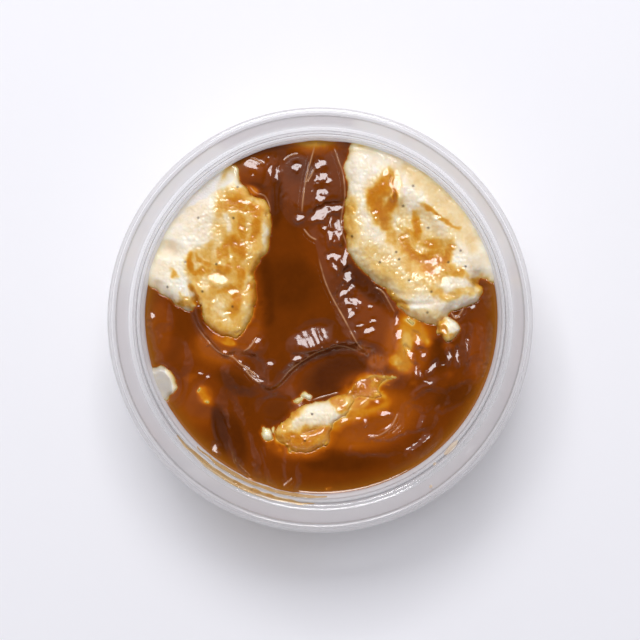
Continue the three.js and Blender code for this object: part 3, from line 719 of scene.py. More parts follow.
# A ridge counts as far as this from it, in mm. It fades over this share of its length at each end.
RIDGE_REACH = 1.2
RIDGE_TAPER = 0.12


def nearest_ridge(x, y):
    """Signed distance to the nearest fine ridge and, close to it, its strength."""
    distance = np.full(x.shape, RIDGE_REACH)
    strength = np.zeros(x.shape)
    for share, path in FINE_RIDGES:
        line = smooth_curve(path)
        near = np.flatnonzero(close_to(line, x, y, RIDGE_REACH))
        away, along, side = nearest_on(line, x[near], y[near])
        nearer = away < np.abs(distance[near])
        near, away, along, side = near[nearer], away[nearer], along[nearer], side[nearer]
        ends = smooth_step(np.minimum(along, 1 - along) / RIDGE_TAPER)
        distance[near] = away * side
        uneven = 0.75 + 0.5 * grain(x[near], y[near], 1.6, seed=71)
        strength[near] = share * ends * uneven * smooth_step((RIDGE_REACH - away) / 0.5)
    return distance, strength


# %% Height of the gravy's skin
# Inside the two large banks there is no gravy: from DRY_FROM to DRY_TO mm in, it drops out of sight.
DRY_FROM, DRY_TO, DRY_DROP = 2.5, 5.0, 16.0
# At the wall the skin creeps up.
MENISCUS, MENISCUS_REACH = 0.25, 0.35
# Wrinkled areas: height and size of the wrinkles, middle, half sizes and turn.
WRINKLES = [
    (0.08, 1.3, [0.3, 37.3], [3.9, 9.5], 0),
    (0.09, 1.4, [3.1, 24.7], [6.2, 12.3], 0.25),
    (0.08, 1.4, [7.6, 7.9], [4.5, 12.3], 0.25),
    (0.03, 1.4, [31.9, -11.7], [10.1, 9.5], 0),
    (0.05, 1.4, [13.7, -29.9], [11.2, 5.6], 0.4),
]
# The whole skin swells a little, over this length, and is finely pitted.
SWELL, SWELL_LENGTH = 0.08, 17
PITTING, PIT_SIZE = 0.02, 1.8
# The patch with fine streaks, where the skin has been dragged.
STREAK_HEIGHT, STREAK_SIZE = 0.05, 0.55
BRUSHED = dict(at=[-2.2, -5.2], half=[9.5, 5.6], turn=0.3)


def dry_share(x, y):
    """0 where gravy can lie, 1 where a bank is too high for it."""
    deepest = np.maximum(*(inside_distance(loop, x, y) for loop in bank_loops[:2]))
    return smooth_step((deepest - DRY_FROM) / (DRY_TO - DRY_FROM))


def folded_skin(x, y):
    """The gravy's skin with its folds."""
    z = broad_skin(x, y) + SWELL * unevenness(x, y, SWELL_LENGTH, seed=3.7)
    z = z + PITTING * grain(x, y, PIT_SIZE, seed=41)
    for height, left, right, path in FOLDS:
        z = z + height * stroke(x, y, left, path, right)
    for height, left, right, path in SHARP_FOLDS:
        z = z + height * stroke(x, y, left, path, right, power=1)
    return z


def gravy_height(x, y):
    """The gravy's skin with all that shows on it."""
    z = spotted_skin(x, y)
    for height, size, at, half, turn in WRINKLES:
        share = smooth_step(1.6 * hump(x, y, at, half, turn))
        z = z + height * share * (grain(x, y, size, seed=43) + 0.35 * grain(x, y, size / 2, seed=44))
    streaks = grain(x + 0.25 * y, y / 5, STREAK_SIZE, seed=45)
    z = z + STREAK_HEIGHT * streaks * smooth_step(2 * hump(x, y, **BRUSHED))
    to_wall = np.maximum(wall_radius(GRAVY_LEVEL) - np.hypot(x, y), 0)
    return z + MENISCUS * np.exp(-to_wall / MENISCUS_REACH) - DRY_DROP * dry_share(x, y)


spotted_skin = with_spots(with_spots(folded_skin, SHEEN_SPOTS), BRIGHT_SPOTS, ripple=0.05)
print("folds:", len(FOLDS + SHARP_FOLDS), "flat spots:", len(SHEEN_SPOTS + BRIGHT_SPOTS))

# %% [markdown]
# ## The mash
#
# Mash is scooped and dropped, so it lies in banks with steep crumbly edges and softly rounded
# tops. Two banks lean on the tub's wall, a low strip lies in front and a few smaller lumps lie
# between them. A bank's outline is a loop. Its height is measured from the gravy's skin, by how
# far inside the loop a point is, so the loop is just where the mash comes out of the gravy. Three
# of the banks never come out: the film of gravy over them is so thin that they show through.

# %% Banks of mash
# edge: film of gravy over the loop; crest: height over the skin in the middle; shoulder: how far
# in the crest starts; flank: slope under the gravy, and on the steep side; wall_fall: share of the
# crest that is lost at the wall; core: CORE_RAMP inside, the bank is measured from CORE_LEVEL, not
# from the skin. BED_LEVEL is the level of the mash between the banks.
BED_LEVEL = 18.5
CORE_LEVEL = 28.0
CORE_RAMP = 4.0
BANKS = [
    dict(edge=0, crest=2.9, shoulder=4.5, flank=(1.7, 3), wall_fall=0.75, core=True, outline=[
        [-26, 55.5], [-24.6, 44.9], [-23.2, 41.5], [-22.1, 38.1], [-20.4, 35.9], [-17.9, 34.2],
        [-15.4, 33.1], [-14.3, 30.6], [-14, 26.1], [-14.3, 21.9], [-14.8, 18.6], [-16.8, 16],
        [-18.2, 13], [-18.7, 9.3], [-18.2, 5.7], [-18.7, 1.8], [-19.9, -1], [-21.3, -3.6],
        [-23.8, -5.2], [-26.6, -5.2], [-29.7, -3.8], [-32.2, -1.3], [-33.6, 1.8], [-35, 2.9],
        [-36.1, 1.8], [-38.3, 2.6], [-41.1, 4.3], [-44.2, 6.2], [-47.3, 8.5], [-53.4, 11.8],
        [-60.4, 15.8], [-63.2, 33.1], [-47.8, 55.5]]),
    dict(edge=0, crest=3.3, shoulder=5, flank=(2, 2), wall_fall=0.6, core=True, outline=[
        [8.4, 56], [8.4, 49.3], [7.3, 45.4], [6.8, 42.6], [7, 39.3], [7.1, 35.9], [6.9, 31.7],
        [6.4, 27.5], [6.7, 23], [7.8, 19.1], [9.5, 16.3], [11.8, 13.5], [14.5, 11], [17.6, 8.8],
        [19.9, 6.2], [21.4, 3.1], [24.6, 0.8], [28.6, -1.1], [32.6, -1.4], [35.2, 0.4], [37.8, 2.4],
        [41.1, 4], [44.2, 5.2], [45, 7.6], [43.6, 9.6], [44.5, 11.6], [45.9, 11], [47.8, 9.6],
        [52.9, 8.5], [61.3, 10.7], [64.1, 33.1], [41.7, 58.3]]),
    dict(edge=0, crest=1.7, shoulder=2.8, flank=(0.7, 0.7), wall_fall=0, core=False, outline=[
        [-12.3, -32.4], [-11.5, -29.9], [-9.2, -27.6], [-6.7, -25.4], [-2.8, -23.8], [1.1, -22.7],
        [4.6, -21.3], [7.2, -20.7], [9.3, -22.5], [8.3, -25.2], [6.2, -27.7], [3.6, -29.5],
        [3.1, -31.7], [2, -34.9], [-0.8, -36.8], [-4.8, -37.4], [-8.7, -36.6], [-11.2, -34.6]]),
    dict(edge=0.3, crest=0.1, shoulder=1.6, flank=(0.8, 0.8), wall_fall=0, core=False, outline=[
        [5.3, -22.3], [7.3, -20.3], [9.2, -19.2], [10.9, -17], [13.2, -15.9], [15.9, -15.3],
        [18.7, -15.6], [21, -15.9], [21.3, -17], [18.7, -17.5], [17.3, -18.4], [16.8, -20.3],
        [17.9, -22], [15.4, -23.1], [12.6, -22.6], [9.8, -23.1], [7.6, -23.7], [5.3, -24]]),
    dict(edge=0, crest=1.5, shoulder=2.6, flank=(1.2, 1.2), wall_fall=0, core=False, outline=[
        [-51.2, -11.7], [-47.3, -13.9], [-45, -13.3], [-42.8, -14.2], [-41.4, -16.4],
        [-40.9, -18.9], [-41.1, -20.9], [-42.5, -22], [-43.4, -23.4], [-47.8, -25.7],
        [-55.7, -20.6]]),
    dict(edge=1.2, crest=-0.35, shoulder=2.2, flank=(0.9, 0.9), wall_fall=0, core=False, outline=[
        [-35, -19.2], [-33.6, -18.1], [-32.2, -19.5], [-31.1, -21.5], [-29.7, -23.7],
        [-29.9, -25.1], [-31.3, -25.4], [-33.3, -24.3], [-34.7, -22.3], [-35.8, -20.3]]),
    dict(edge=0, crest=2.2, shoulder=2.2, flank=(1.5, 1.5), wall_fall=0, core=False, outline=[
        [33.3, -0.5], [35.3, 0.6], [37.5, -0.2], [38.6, -2.4], [38.1, -4.7], [36.1, -6.1],
        [34.1, -5.2], [33, -3]]),
    dict(edge=0.9, crest=-0.38, shoulder=2.8, flank=(1.3, 1.3), wall_fall=0, core=False, outline=[
        [21.5, 2.3], [22.7, 4], [29.1, 1.8], [33.3, 0.6], [35, -3.3], [33.3, -5.5], [29.9, -7.8],
        [26.6, -7.5], [25.7, -10.5], [26, -13.6], [24.3, -15.6], [21, -16.1], [17.6, -16.7],
        [14.8, -15.9], [17.3, -13.9], [19.6, -11.7], [20.7, -8.9], [21.3, -5.5], [21, -1.9]]),
    dict(edge=1.2, crest=-0.4, shoulder=3.5, flank=(0.9, 0.9), wall_fall=0, core=False, outline=[
        [1.4, -29.6], [3.9, -26.8], [7, -24.5], [11.5, -22.9], [15.4, -22.9], [17.6, -21.7],
        [19.6, -22.3], [19.6, -25.1], [17.9, -26.8], [14.8, -28.2], [11.5, -29.3], [8.1, -30.7],
        [5.6, -33.2], [3.1, -36], [0.3, -37.7], [-0.8, -34.1]]),
]
bank_loops = [smooth_curve(bank["outline"], closed=True) for bank in BANKS]
STEEP_SIDE = dict(at=[-13.7, 26.9], half=[7.3, 15.1])
print("banks of mash:", len(BANKS))

# %% Smaller lumps of mash, and where the mash is hollow
# Each lump is its height over the gravy's skin, and its place. Under zero, a film covers it.
LUMPS = ovals([
    (0.8, 10.6, -19.5, 2.2, 1.7), (0.6, 14.8, -17.8, 2.2, 1.7), (0.6, 15.7, -21.5, 1.7, 1.4),
    (0.4, 8.1, -21.7, 2, 1.4), (0.3, 20.1, -16.4, 2, 1.1), (0.9, -15.4, -32.9, 2.2, 3.8, 0.35),
    (0.8, -13.2, -31.3, 1.2, 1.4), (0.9, -4.2, -22, 2.4, 2), (0.7, -8.7, -36.8, 1.7, 1.7),
    (0.5, -6.4, -23.4, 2.8, 1.8, 0.5), (-0.15, 30.2, -6.4, 2.2, 2), (-0.1, 32.5, -3.8, 1.9, 1.8),
    (0.2, 24.9, -0.5, 3.2, 2.4), (0.5, 31.3, -1, 2.6, 2, -0.4), (-0.2, 35.3, -7.5, 2.4, 2, -0.6),
    (-0.5, 36.1, -15.9, 2.6, 2.2), (-0.35, -36.7, -16.7, 2.6, 1.8),
    (0.25, -34.1, -19.8, 1, 1.7, 0.3), (0.3, -32.2, -23.4, 1.5, 1, -0.4),
    (-0.5, 26, -18.4, 1.8, 1.6), (0.1, 2, -48, 1.2, 1),
])
LUMP_DEPTH = 1.4
NOTCH = dict(at=[-42, 19.1], half=[5, 3.4], turn=-0.2)
NOTCH_DEPTH = 3.0
SAUCER = dict(at=[26.6, 23], half=[19, 11], turn=-0.85)
SAUCER_DEPTH = 2.2
# Grooves between clumps: depth, half width and path.
SEAMS = [
    (2.2, 0.7, [[-36.7, 9.6], [-35.8, 7.1], [-34.7, 4.6], [-33.6, 2]]),
    (1.2, 0.6, [[21.5, 4.6], [25.5, 4], [30.5, 4.3]]),
    (0.9, 0.7, [[-5, -32.1], [-2, -31.3], [0.8, -29.9]]),
    (0.6, 0.8, [[32.2, 9], [35, 7.1], [38.3, 6.2]]),
    (0.8, 0.8, [[42.2, 14.1], [43.1, 11.3], [42.8, 7.9]]),
]
# From this far out, a bank sinks towards the wall.
WALL_FALL_START = 43.0


def bank_height(bank, x, y, depth, skin, pressed):
    """Height of a bank at a depth inside its outline."""
    slope = bank["flank"][0] + (bank["flank"][1] - bank["flank"][0]) * smooth_step(
        2 * hump(x, y, **STEEP_SIDE))
    reach = np.clip(depth / bank["shoulder"], 0, 1)
    crest = bank["crest"] * (1 - bank["wall_fall"] * pressed)
    rise = (crest + bank["edge"]) * (1 - (1 - reach) ** 3) - bank["edge"]
    base = skin
    if bank["core"]:
        base = skin + (CORE_LEVEL - skin) * smooth_step(depth / CORE_RAMP)
    return base + np.where(depth < 0, slope * depth - bank["edge"], rise)


# %% Gravy that has run over the banks
# Each entry is the film's thickness in millimetres, the stroke's width and its path.
RUNS = [
    (0.6, 1, [[26.3, 30], [26.6, 25.5], [25.5, 21.3]]),
    (0.6, 0.9, [[22.7, 20.2], [25.5, 18], [29.9, 16.9], [34.4, 17.4], [36.4, 19.7]]),
    (0.8, 1.9, [[19, 40.4], [17.6, 37], [15.4, 34.2], [15.9, 30.9], [17.6, 28.1], [18.2, 25.3]]),
    (0.9, 1.2, [[19.9, 39.3], [20.4, 35.3], [19.6, 32], [17.9, 29.2]]),
    (0.5, 1.3, [[15.9, 34.2], [14.8, 31.4], [15.4, 26.9]]),
    (0.8, 1.3, [[23.2, 23], [23.8, 19.7], [26.6, 17.4], [30.5, 16.6], [34.4, 16.9], [36.4, 19.7]]),
    (0.7, 1.2, [[26.6, 29.7], [26.9, 26.4], [26.6, 23]]),
    (0.35, 1.6, [[27.7, 21.3], [31.6, 20.8], [35.5, 21.3]]),
    (0.4, 0.7, [[27.7, 32.5], [30.5, 30.3], [33.9, 27.5], [38.3, 25.3]]),
    (0.5, 1.3, [[27.1, 15.8], [30.5, 14.1], [33.3, 13]]),
    (0.45, 1.2, [[28.8, 17.7], [32.2, 18], [34.4, 19.7]]),
    (0.4, 1.2, [[22.1, 19.7], [25.5, 18], [28.8, 17.4]]),
    (0.35, 1.2, [[-26, 21.9], [-27.1, 18.6], [-26, 15.8]]),
    (0.45, 1.4, [[-22.7, 7.4], [-23.2, 4.6], [-24.9, 1.8]]),
    (0.35, 1, [[34.1, -1], [33.6, -3.3], [34.7, -5.5]]),
    (0.3, 0.8, [[35.8, -5.8], [37.8, -4.4]]),
    (0.35, 1, [[17.6, 7.9], [21, 5.1], [24.3, 2.3]]),
    (0.3, 1, [[41.7, 10.7], [43.9, 9], [43.9, 7.4]]),
    (0.4, 1.2, [[-3.9, -31], [-0.8, -31.5], [2.5, -30.4]]),
    (0.35, 1.4, [[1.4, -22.3], [4.8, -24], [7, -26.8]]),
    (0.3, 1.2, [[32.2, 15.8], [34.4, 14.6], [37.5, 13], [41.1, 11.8]]),
    (0.25, 1, [[22.1, 25.3], [23.8, 24.1], [25.5, 22.5]]),
    (0.25, 1.4, [[18.2, 25.8], [19.3, 22.5], [21.5, 19.7]]),
    (0.2, 1.2, [[31.1, 8.5], [35, 6.2], [39.5, 7.4], [43.4, 7.9]]),
    (0.18, 1.6, [[8.7, 33.1], [8.1, 26.9], [9.2, 20.8]]),
    (0.6, 1.9, [[-27.7, 31.4], [-24.1, 32.3], [-20.4, 31.1], [-17.6, 29.7]]),
    (0.6, 1.2, [[-18.7, 30.3], [-18.2, 26.1], [-19, 21.9]]),
    (0.35, 1.1, [[-22.7, 28.6], [-21.8, 25.3], [-21.3, 21.9]]),
    (0.6, 1.8, [[-25.5, 21.9], [-23.2, 20.2], [-21.8, 18.6]]),
    (0.5, 0.9, [[-36.7, 17.7], [-36.4, 15.2], [-34.4, 13.2], [-31.6, 13.2]]),
    (0.3, 0.8, [[-34.7, 17.2], [-32.5, 15.5], [-29.7, 14.6]]),
    (0.4, 1.3, [[-23.5, 15.8], [-22.4, 12.1], [-21.8, 8.5]]),
    (0.4, 0.8, [[-28.8, 7.9], [-25.5, 8.2], [-22.7, 9.9]]),
    (0.3, 1.2, [[-30.5, 14.1], [-27.7, 13.5], [-25.5, 14.6]]),
    (0.45, 1.4, [[-17.9, 15.8], [-18.2, 9.3], [-17.6, 3.7], [-19.3, -1.9]]),
    (0.7, 2.2, [[-31.6, -2.7], [-28.5, -5.2], [-24.3, -6.4]]),
    (0.6, 0.5, [[-36.4, 9.6], [-34.7, 5.1], [-32.7, 1.5]]),
    (0.2, 0.8, [[-39.5, 6.5], [-36.7, 4.8], [-33.6, 6]]),
    (0.25, 0.8, [[-41.7, 13.5], [-40.3, 12.1]]),
    (0.3, 0.9, [[-40.6, 4.6], [-37.8, 4.3], [-36.1, 3.4]]),
    (0.3, 1.4, [[-9.8, -33.5], [-6.4, -34.6], [-2, -35.7]]),
    (0.35, 1, [[5.9, -21.7], [8.7, -20.6], [12, -18.4], [15.4, -17.3]]),
    (0.25, 1.6, [[-5.9, -25.1], [-9.2, -28.5], [-10.9, -31.8]]),
]
# However much runs over the mash, no more than this stays on it, in mm.
DEEPEST_STAIN = 0.52
# Areas under a thin wash: its thickness, how soft its edge is, and its outline.
WASHED_AREAS = [
    (0.19, 2.8, [[-27.7, 35.9], [-23.8, 37], [-16.5, 35.3], [-12.6, 29.7], [-13.2, 18.6],
        [-15.9, 13], [-15.9, -1], [-21, -7.8], [-29.9, -5.2], [-33.3, 1.8], [-35.5, 7.4],
        [-36.9, 12.4], [-37.5, 17.2], [-33.3, 18.8], [-30.2, 23], [-29.7, 29.7]]),
    (0.05, 3, [[4.2, 39.3], [8.1, 36.5], [11.2, 28.1], [14.8, 19.7], [21, 13], [26, 8.5], [23.2, 4],
        [13.7, 7.4], [7, 15.8], [3.6, 25.3]]),
    (0.06, 1.6, [[25.7, 30.9], [28.8, 32], [33.3, 28.6], [36.7, 23.6], [36.9, 15.8], [32.7, 16.6],
        [27.7, 17.7], [23.2, 21.1], [24.9, 25.8]]),
    (0.08, 2.6, [[12.6, 37], [19.9, 40.9], [22.7, 34.2], [25.5, 26.9], [23.2, 21.3], [17.6, 24.1],
        [13.7, 29.7]]),
    (0.12, 3, [[23.5, 16.9], [33.3, 15.8], [35, 11.8], [31.1, 9.6], [24.9, 11.8]]),
    (0.05, 3, [[22.1, 42.6], [30.5, 39.8], [40.6, 28.6], [43.4, 19.1], [37.8, 23], [28.8, 34.2]]),
    (0.34, 2, [[-12.6, -32.9], [-5.9, -31.8], [2.5, -30.7], [4.8, -34.1], [1.4, -38], [-5.9, -38.5],
        [-10.9, -36.8]]),
    (0.25, 1.4, [[2.5, -20.6], [8.1, -18.4], [16.5, -13.9], [22.1, -14.5], [19.9, -21.7],
        [14.3, -24.5], [7, -25.1], [2.5, -24]]),
]
# Where the wash has run off again: the share that is gone, the stroke's width and its path.
CLEARED = [
    (0.9, 1, [[-26.6, 29.7], [-25.7, 26.4], [-25.5, 22.5]]),
    (0.9, 0.9, [[-15.9, 28.6], [-15.4, 24.1], [-15.7, 19.1]]),
    (0.8, 0.8, [[-21, 33.1], [-18.7, 32.8], [-16.5, 31.7]]),
    (0.6, 1.6, [[-30.5, 23], [-28.3, 21.1], [-29.4, 18]]),
    (0.6, 1.8, [[-29.9, 5.1], [-27.7, 2.9], [-25.5, 0.1]]),
    (0.6, 1.4, [[-22.7, 5.7], [-21.8, 2.3]]),
    (0.6, 0.8, [[-20.7, 22.5], [-20.4, 18.6], [-21, 15.8]]),
    (0.7, 1, [[-33, 11.8], [-31.6, 7.9]]),
    (0.8, 0.9, [[-28, 15.8], [-25.5, 16.9], [-23.8, 17.4]]),
    (0.9, 1.4, [[31.1, 29.2], [33.3, 26.9], [34.7, 24.7]]),
    (0.8, 1.8, [[-32.5, 18.6], [-34.4, 15.8], [-36.1, 18]]),
    (0.7, 1.6, [[-28.8, 28.6], [-27.4, 25.8]]),
    (0.7, 1.6, [[33.9, 23], [35.5, 21.3]]),
    (0.8, 1.8, [[24.3, 32], [27.1, 30.9]]),
    (0.6, 1.8, [[2.5, -26.2], [5.3, -27.3]]),
    (0.6, 1.6, [[7, -21.7], [9.2, -22.9]]),
    (0.7, 0.7, [[15.4, 34.2], [16.5, 31.4], [17.6, 29.2]]),
    (0.7, 0.6, [[18.7, 37], [18.2, 34.2]]),
    (0.7, 0.7, [[18.7, 29.2], [20.4, 27.5], [20.1, 24.7]]),
]
# Washes without an outline: thickness and place.
WASHES = ovals([
    (0.12, -33.9, 15.8, 5, 5), (0.07, 22.1, 14.1, 17, 8, -0.4), (0.1, 12.6, -20.6, 9, 6),
    (0.16, -2.5, -34.6, 11, 6.5), (0.06, 28.8, 0.1, 9, 4), (0.14, -32.7, -22, 4, 4.5),
])
print("runs of gravy over the mash:", len(RUNS), "and washed areas:", len(WASHED_AREAS + WASHES))


def crumbly_relief(x, y):
    """Crumbs and grain of the bare mash, between about -1 and 1."""
    broad = 0.35 * crumbs(x, y, 2.2, seed=31) + 0.45 * crumbs(x, y, 1.2, seed=33) - 0.35
    return broad + 0.35 * grain(x, y, 1.9, seed=1) + 0.45 * grain(x, y, 0.8, seed=3)


def stain_depth(x, y):
    """Thickness of the thin gravy that lies on top of the mash. It pools between the crumbs."""
    wander_x = x + 0.7 * grain(x, y, 2.2, seed=21) + 0.3 * grain(x, y, 0.9, seed=22)
    wander_y = y + 0.7 * grain(x, y, 2.2, seed=23) + 0.3 * grain(x, y, 0.9, seed=24)
    depth = np.zeros(x.shape)
    for thickness, place in WASHES:
        depth = depth + thickness * smooth_step(2 * hump(x, y, **place))
    for thickness, soft_edge, outline in WASHED_AREAS:
        inside = inside_distance(smooth_curve(outline, closed=True), wander_x, wander_y)
        depth = depth + thickness * smooth_step(inside / soft_edge + 0.5)
    for share, width, path in CLEARED:
        depth = depth * (1 - share * smooth_step(1.3 * stroke(wander_x, wander_y, width, path)))
    runs = np.zeros(x.shape)
    for thickness, width, path in RUNS:
        runs = np.maximum(runs, thickness * smooth_step(1.3 * stroke(wander_x, wander_y, width, path)))
    patchy = 1 + 0.35 * grain(x, y, 3.4, seed=27) + 0.2 * grain(x, y, 1.5, seed=28)
    patchy = patchy - 0.45 * crumbly_relief(x, y)
    depth = (depth + runs) * np.clip(patchy, 0.1, 2)
    return DEEPEST_STAIN * (1 - np.exp(-depth / DEEPEST_STAIN))


# %% Wet flat spots on the mash that mirror the soft box
WET_SPOTS = ovals([(MIRROR_SLOPE, *place) for place in (
    (19.6, 37, 0.3, 2.5, 0.1), (21.8, 36.7, 0.4, 2, 0.15), (15.1, 29.7, 0.7, 0.4),
    (21.5, 27.5, 0.4, 1.1), (23.2, 23, 1, 0.4, 0.4), (28, 18.6, 0.8, 0.4, -0.4),
    (34.4, 11.8, 0.7, 0.7), (-28.5, 11, 2, 1.3, -0.2), (-24.3, 7.6, 1, 0.7, 0.3),
    (-20.1, 8.8, 0.4, 0.9), (-26.3, 1.5, 0.9, 0.4), (-19.9, 17.2, 0.6, 0.6),
    (-21.8, 25.3, 1, 0.4, -0.6), (-21.3, 32.3, 0.9, 0.4, -0.6), (-22.7, -2.4, 0.4, 0.6),
    (-37.5, 5.4, 0.7, 0.5), (21.5, 37.6, 0.8, 3.1, 0.12), (18.2, 40.9, 0.8, 0.8),
    (32.5, 28.3, 0.7, 0.6), (28.8, 19.4, 0.7, 0.6, 0.4), (34.7, 10.4, 0.8, 1.1, 0.2),
    (35, -1.9, 1.3, 1), (34.4, -3.6, 0.6, 0.8), (10.4, -19.5, 0.6, 0.5), (-15.1, -31.8, 0.7, 0.8))])

# %% Mash smeared flat against the wall, painted greyer for shade
# Each entry is how grey it looks, from 0 to 1, and its outline: the grey is partly painted shade
# where the mash meets the wall. Its edge is this soft, in mm.
PRESSED_EDGE = 0.9
SMEARED_AND_SHADED_AREAS = [
    (0.45, [[-15.4, 49.9], [-17.6, 44.9], [-22.7, 40.9], [-25.5, 37.6], [-27.7, 36.2],
        [-30.2, 35.6], [-31.6, 33.7], [-34.1, 33.1], [-37.8, 30], [-41.4, 26.9], [-43.4, 24.7],
        [-44.5, 21.3], [-47.6, 19.1], [-50.6, 15.8], [-54, 11.8], [-61.8, 16.3], [-47.8, 47.1],
        [-25.5, 58.3]]),
    (1, [[-53.4, -10.3], [-47.8, -12.2], [-44.2, -13.9], [-42.2, -16.7], [-41.7, -20.1],
        [-43.1, -22.9], [-47.8, -26.2], [-54.8, -22.9]]),
]


def smeared_and_shaded_at_wall(x, y):
    """How far the mash at a point is smeared against the wall and painted grey for shade, from 0 to 1.
    """
    wander_x, wander_y = wandered(x, y, 0.8, 1.7, seed=61)
    share = np.zeros(x.shape)
    for value, outline in SMEARED_AND_SHADED_AREAS:
        inside = inside_distance(smooth_curve(outline, closed=True), wander_x, wander_y)
        share = np.maximum(share, value * smooth_step(inside / PRESSED_EDGE + 0.5))
    return share


# %% Height of the mash
# How far banks and lumps are rounded into what is under them, in mm.
BANK_BLEND, LUMP_BLEND = 0.4, 0.3
# The mash counts as out of the gravy from this height over it, fully so over this much more.
OUT_FROM, OUT_OVER = 0.3, 1.5
# Crumbs: their height, the share of it under the gravy, and the share that is smoothed away where
# the mash is pressed to the wall or under a wash of this thickness.
CRUMB_HEIGHT = 0.36
CRUMBS_UNDER = 0.15
SMOOTHED, WASHED_AT = 0.8, 0.2


def bare_mash_height(x, y):
    """The mash with its banks, lumps, seams and crumbs."""
    radius = np.hypot(x, y)
    wall = wall_radius(GRAVY_LEVEL)
    pressed = smooth_step((radius - WALL_FALL_START) / (wall - WALL_FALL_START))
    skin = broad_skin(x, y)
    real_skin = gravy_height(x, y) + DRY_DROP * dry_share(x, y)
    wander = 0.5 * grain(x, y, 3.2, seed=11) + 0.3 * grain(x, y, 1.4, seed=12)
    z = BED_LEVEL + 1.8 * unevenness(x, y, 34, seed=2.3)
    for bank, loop in zip(BANKS, bank_loops):
        depth = inside_distance(loop, x, y) + wander
        base = skin if bank["crest"] > 1 else real_skin
        top = bank_height(bank, x, y, depth, base, pressed)
        z = soft_max(z, top, BANK_BLEND)
    bent_x, bent_y = wandered(x, y, 0.7, 1.6, seed=15)
    for height, place in LUMPS:
        share = np.sqrt(hump(bent_x, bent_y, **place))
        z = soft_max(z, real_skin + (height + LUMP_DEPTH) * share - LUMP_DEPTH, LUMP_BLEND)
    saucer = smooth_step(1.4 * hump(x, y, **SAUCER))
    z = z - NOTCH_DEPTH * hump(x, y, **NOTCH) - SAUCER_DEPTH * saucer
    for depth, width, path in SEAMS:
        z = z - depth * stroke(x, y, width, path)
    rise = smooth_step((z - skin - OUT_FROM) / OUT_OVER)
    z = z + rise * (0.3 * unevenness(x, y, 9, seed=5.1) + 0.1 * unevenness(x, y, 4.5, seed=1.4))
    rough = (1 - SMOOTHED * pressed) * (1 - SMOOTHED * smooth_step(stain_depth(x, y) / WASHED_AT))
    rough = rough * (1 - SMOOTHED * smooth_step(2.5 * smeared_and_shaded_at_wall(x, y)))
    crumb_height = CRUMB_HEIGHT * rough * (CRUMBS_UNDER + (1 - CRUMBS_UNDER) * rise)
    return z + crumb_height * crumbly_relief(x, y)


# %% Small glints, at random where the mash is moist
GLINTS = 90
GLINT_REACH = 44
MOIST_FROM = 0.1
dice = np.random.default_rng(17)
glint_x, glint_y = dice.uniform(-GLINT_REACH, GLINT_REACH, (2, 12 * GLINTS))
moist = stain_depth(glint_x, glint_y) > MOIST_FROM
for glint_at in np.column_stack([glint_x, glint_y])[moist][:GLINTS]:
    half = dice.uniform([0.3, 0.2], [0.7, 0.35])
    WET_SPOTS.append((MIRROR_SLOPE, dict(at=glint_at, half=half, turn=dice.uniform(-1.5, 1.5))))
mash_height = with_spots(bare_mash_height, WET_SPOTS, ripple=0.04)
print("flat spots on the mash:", len(WET_SPOTS))

# %% Where the gravy is thinner or thicker to the eye, and where shade and light are painted: thickness and place
# Between the places it has this thickness, in mm. It is uneven by a share, more where it is thin.
MIDDLE_DEPTH = 3.1
UNEVEN_DEEP, UNEVEN_THIN = 0.07, 0.25
THIN_FROM, THIN_OVER = 1.4, 0.8
# A deeper place is painted darker. Some of these are painted shade: the hollow under the lip, the
# hollows at the lower left and the feet of the two large banks. The two thin places at the back wall are
# painted lighter, as painted light where the wall shades the gravy.
DEPTH_TONES_SHADE_AND_LIGHT = ovals([
    (1.9, -35, -24, 11.2, 13.4, 0.3), (2.3, -32.5, -11.1, 12.3, 9.5),
    (2.3, 15.9, 0.1, 9.5, 16.8, 0.4), (2.1, -21.3, 43.2, 12.9, 8.4), (2, -45, -3.3, 5.6, 14),
    (2.3, -5.9, -16.7, 14, 5, 0.5), (2.5, 0.3, 19.7, 9.5, 14), (3, -8.7, -7.5, 14, 11.2),
    (2, 5.3, -35.7, 15.1, 5, 0.2), (2.2, 43.9, -8.9, 4.5, 16.8), (3.2, 30.5, -34.1, 11.2, 8.4, 0.6),
    (5.2, 4.8, -15.6, 15.1, 7.6, 0.35), (3.6, -12.6, -26.2, 5, 5),
    (7.5, -28, -31.3, 3.6, 10.1, 0.2), (5, -23.8, -34.1, 3.9, 11.2, 0.2),
    (4.2, -9.2, 9.6, 12.3, 11.2), (5, 12.6, 9, 12.3, 3.9, -0.75), (4.6, 5.3, -40.2, 16.8, 5),
    (4.4, 32.2, -9.4, 6.7, 7.3), (4.6, -12.3, 33.1, 2.8, 11.2), (4.2, -5.9, 41.5, 6.7, 5.6),
    (4.4, -23.8, -18.4, 9.5, 3.9, -0.5), (4.4, 37.5, -21.5, 9.5, 4.5, 0.4),
    (4.6, -18.2, 37, 4.5, 1.4, -0.1), (1, -2.5, 49.3, 15, 6, -0.05),
    (0.35, -2.5, 49.8, 14, 3.4, -0.05), (1.1, 15.7, -12.2, 5, 4.2), (1.6, 12, -8.9, 3.9, 2.8),
    (5, -15.4, 7.4, 3.9, 12.3), (0.5, 10.6, -24.3, 6.7, 2.8, 0.35), (1.5, 18.2, -22.7, 4.8, 4.5),
    (0.32, 24.1, -6.6, 3.1, 6.7, 0.1), (0.6, 20.7, -11.7, 3.9, 3.4), (4.5, -15.1, 0.6, 3.4, 4.5),
    (2.6, -22.7, -8, 4.5, 2.5, -0.4), (3, -34.4, -8.3, 3.1, 2.5, -0.6),
    (3.2, -2.5, -38.8, 7.3, 2.5), (0.5, -26, -6.6, 4.5, 2.2, -0.3), (0.6, -27.4, -5.2, 5.3, 2.8),
    (0.8, -19.3, 35.9, 4.2, 2.2, -0.5),
])
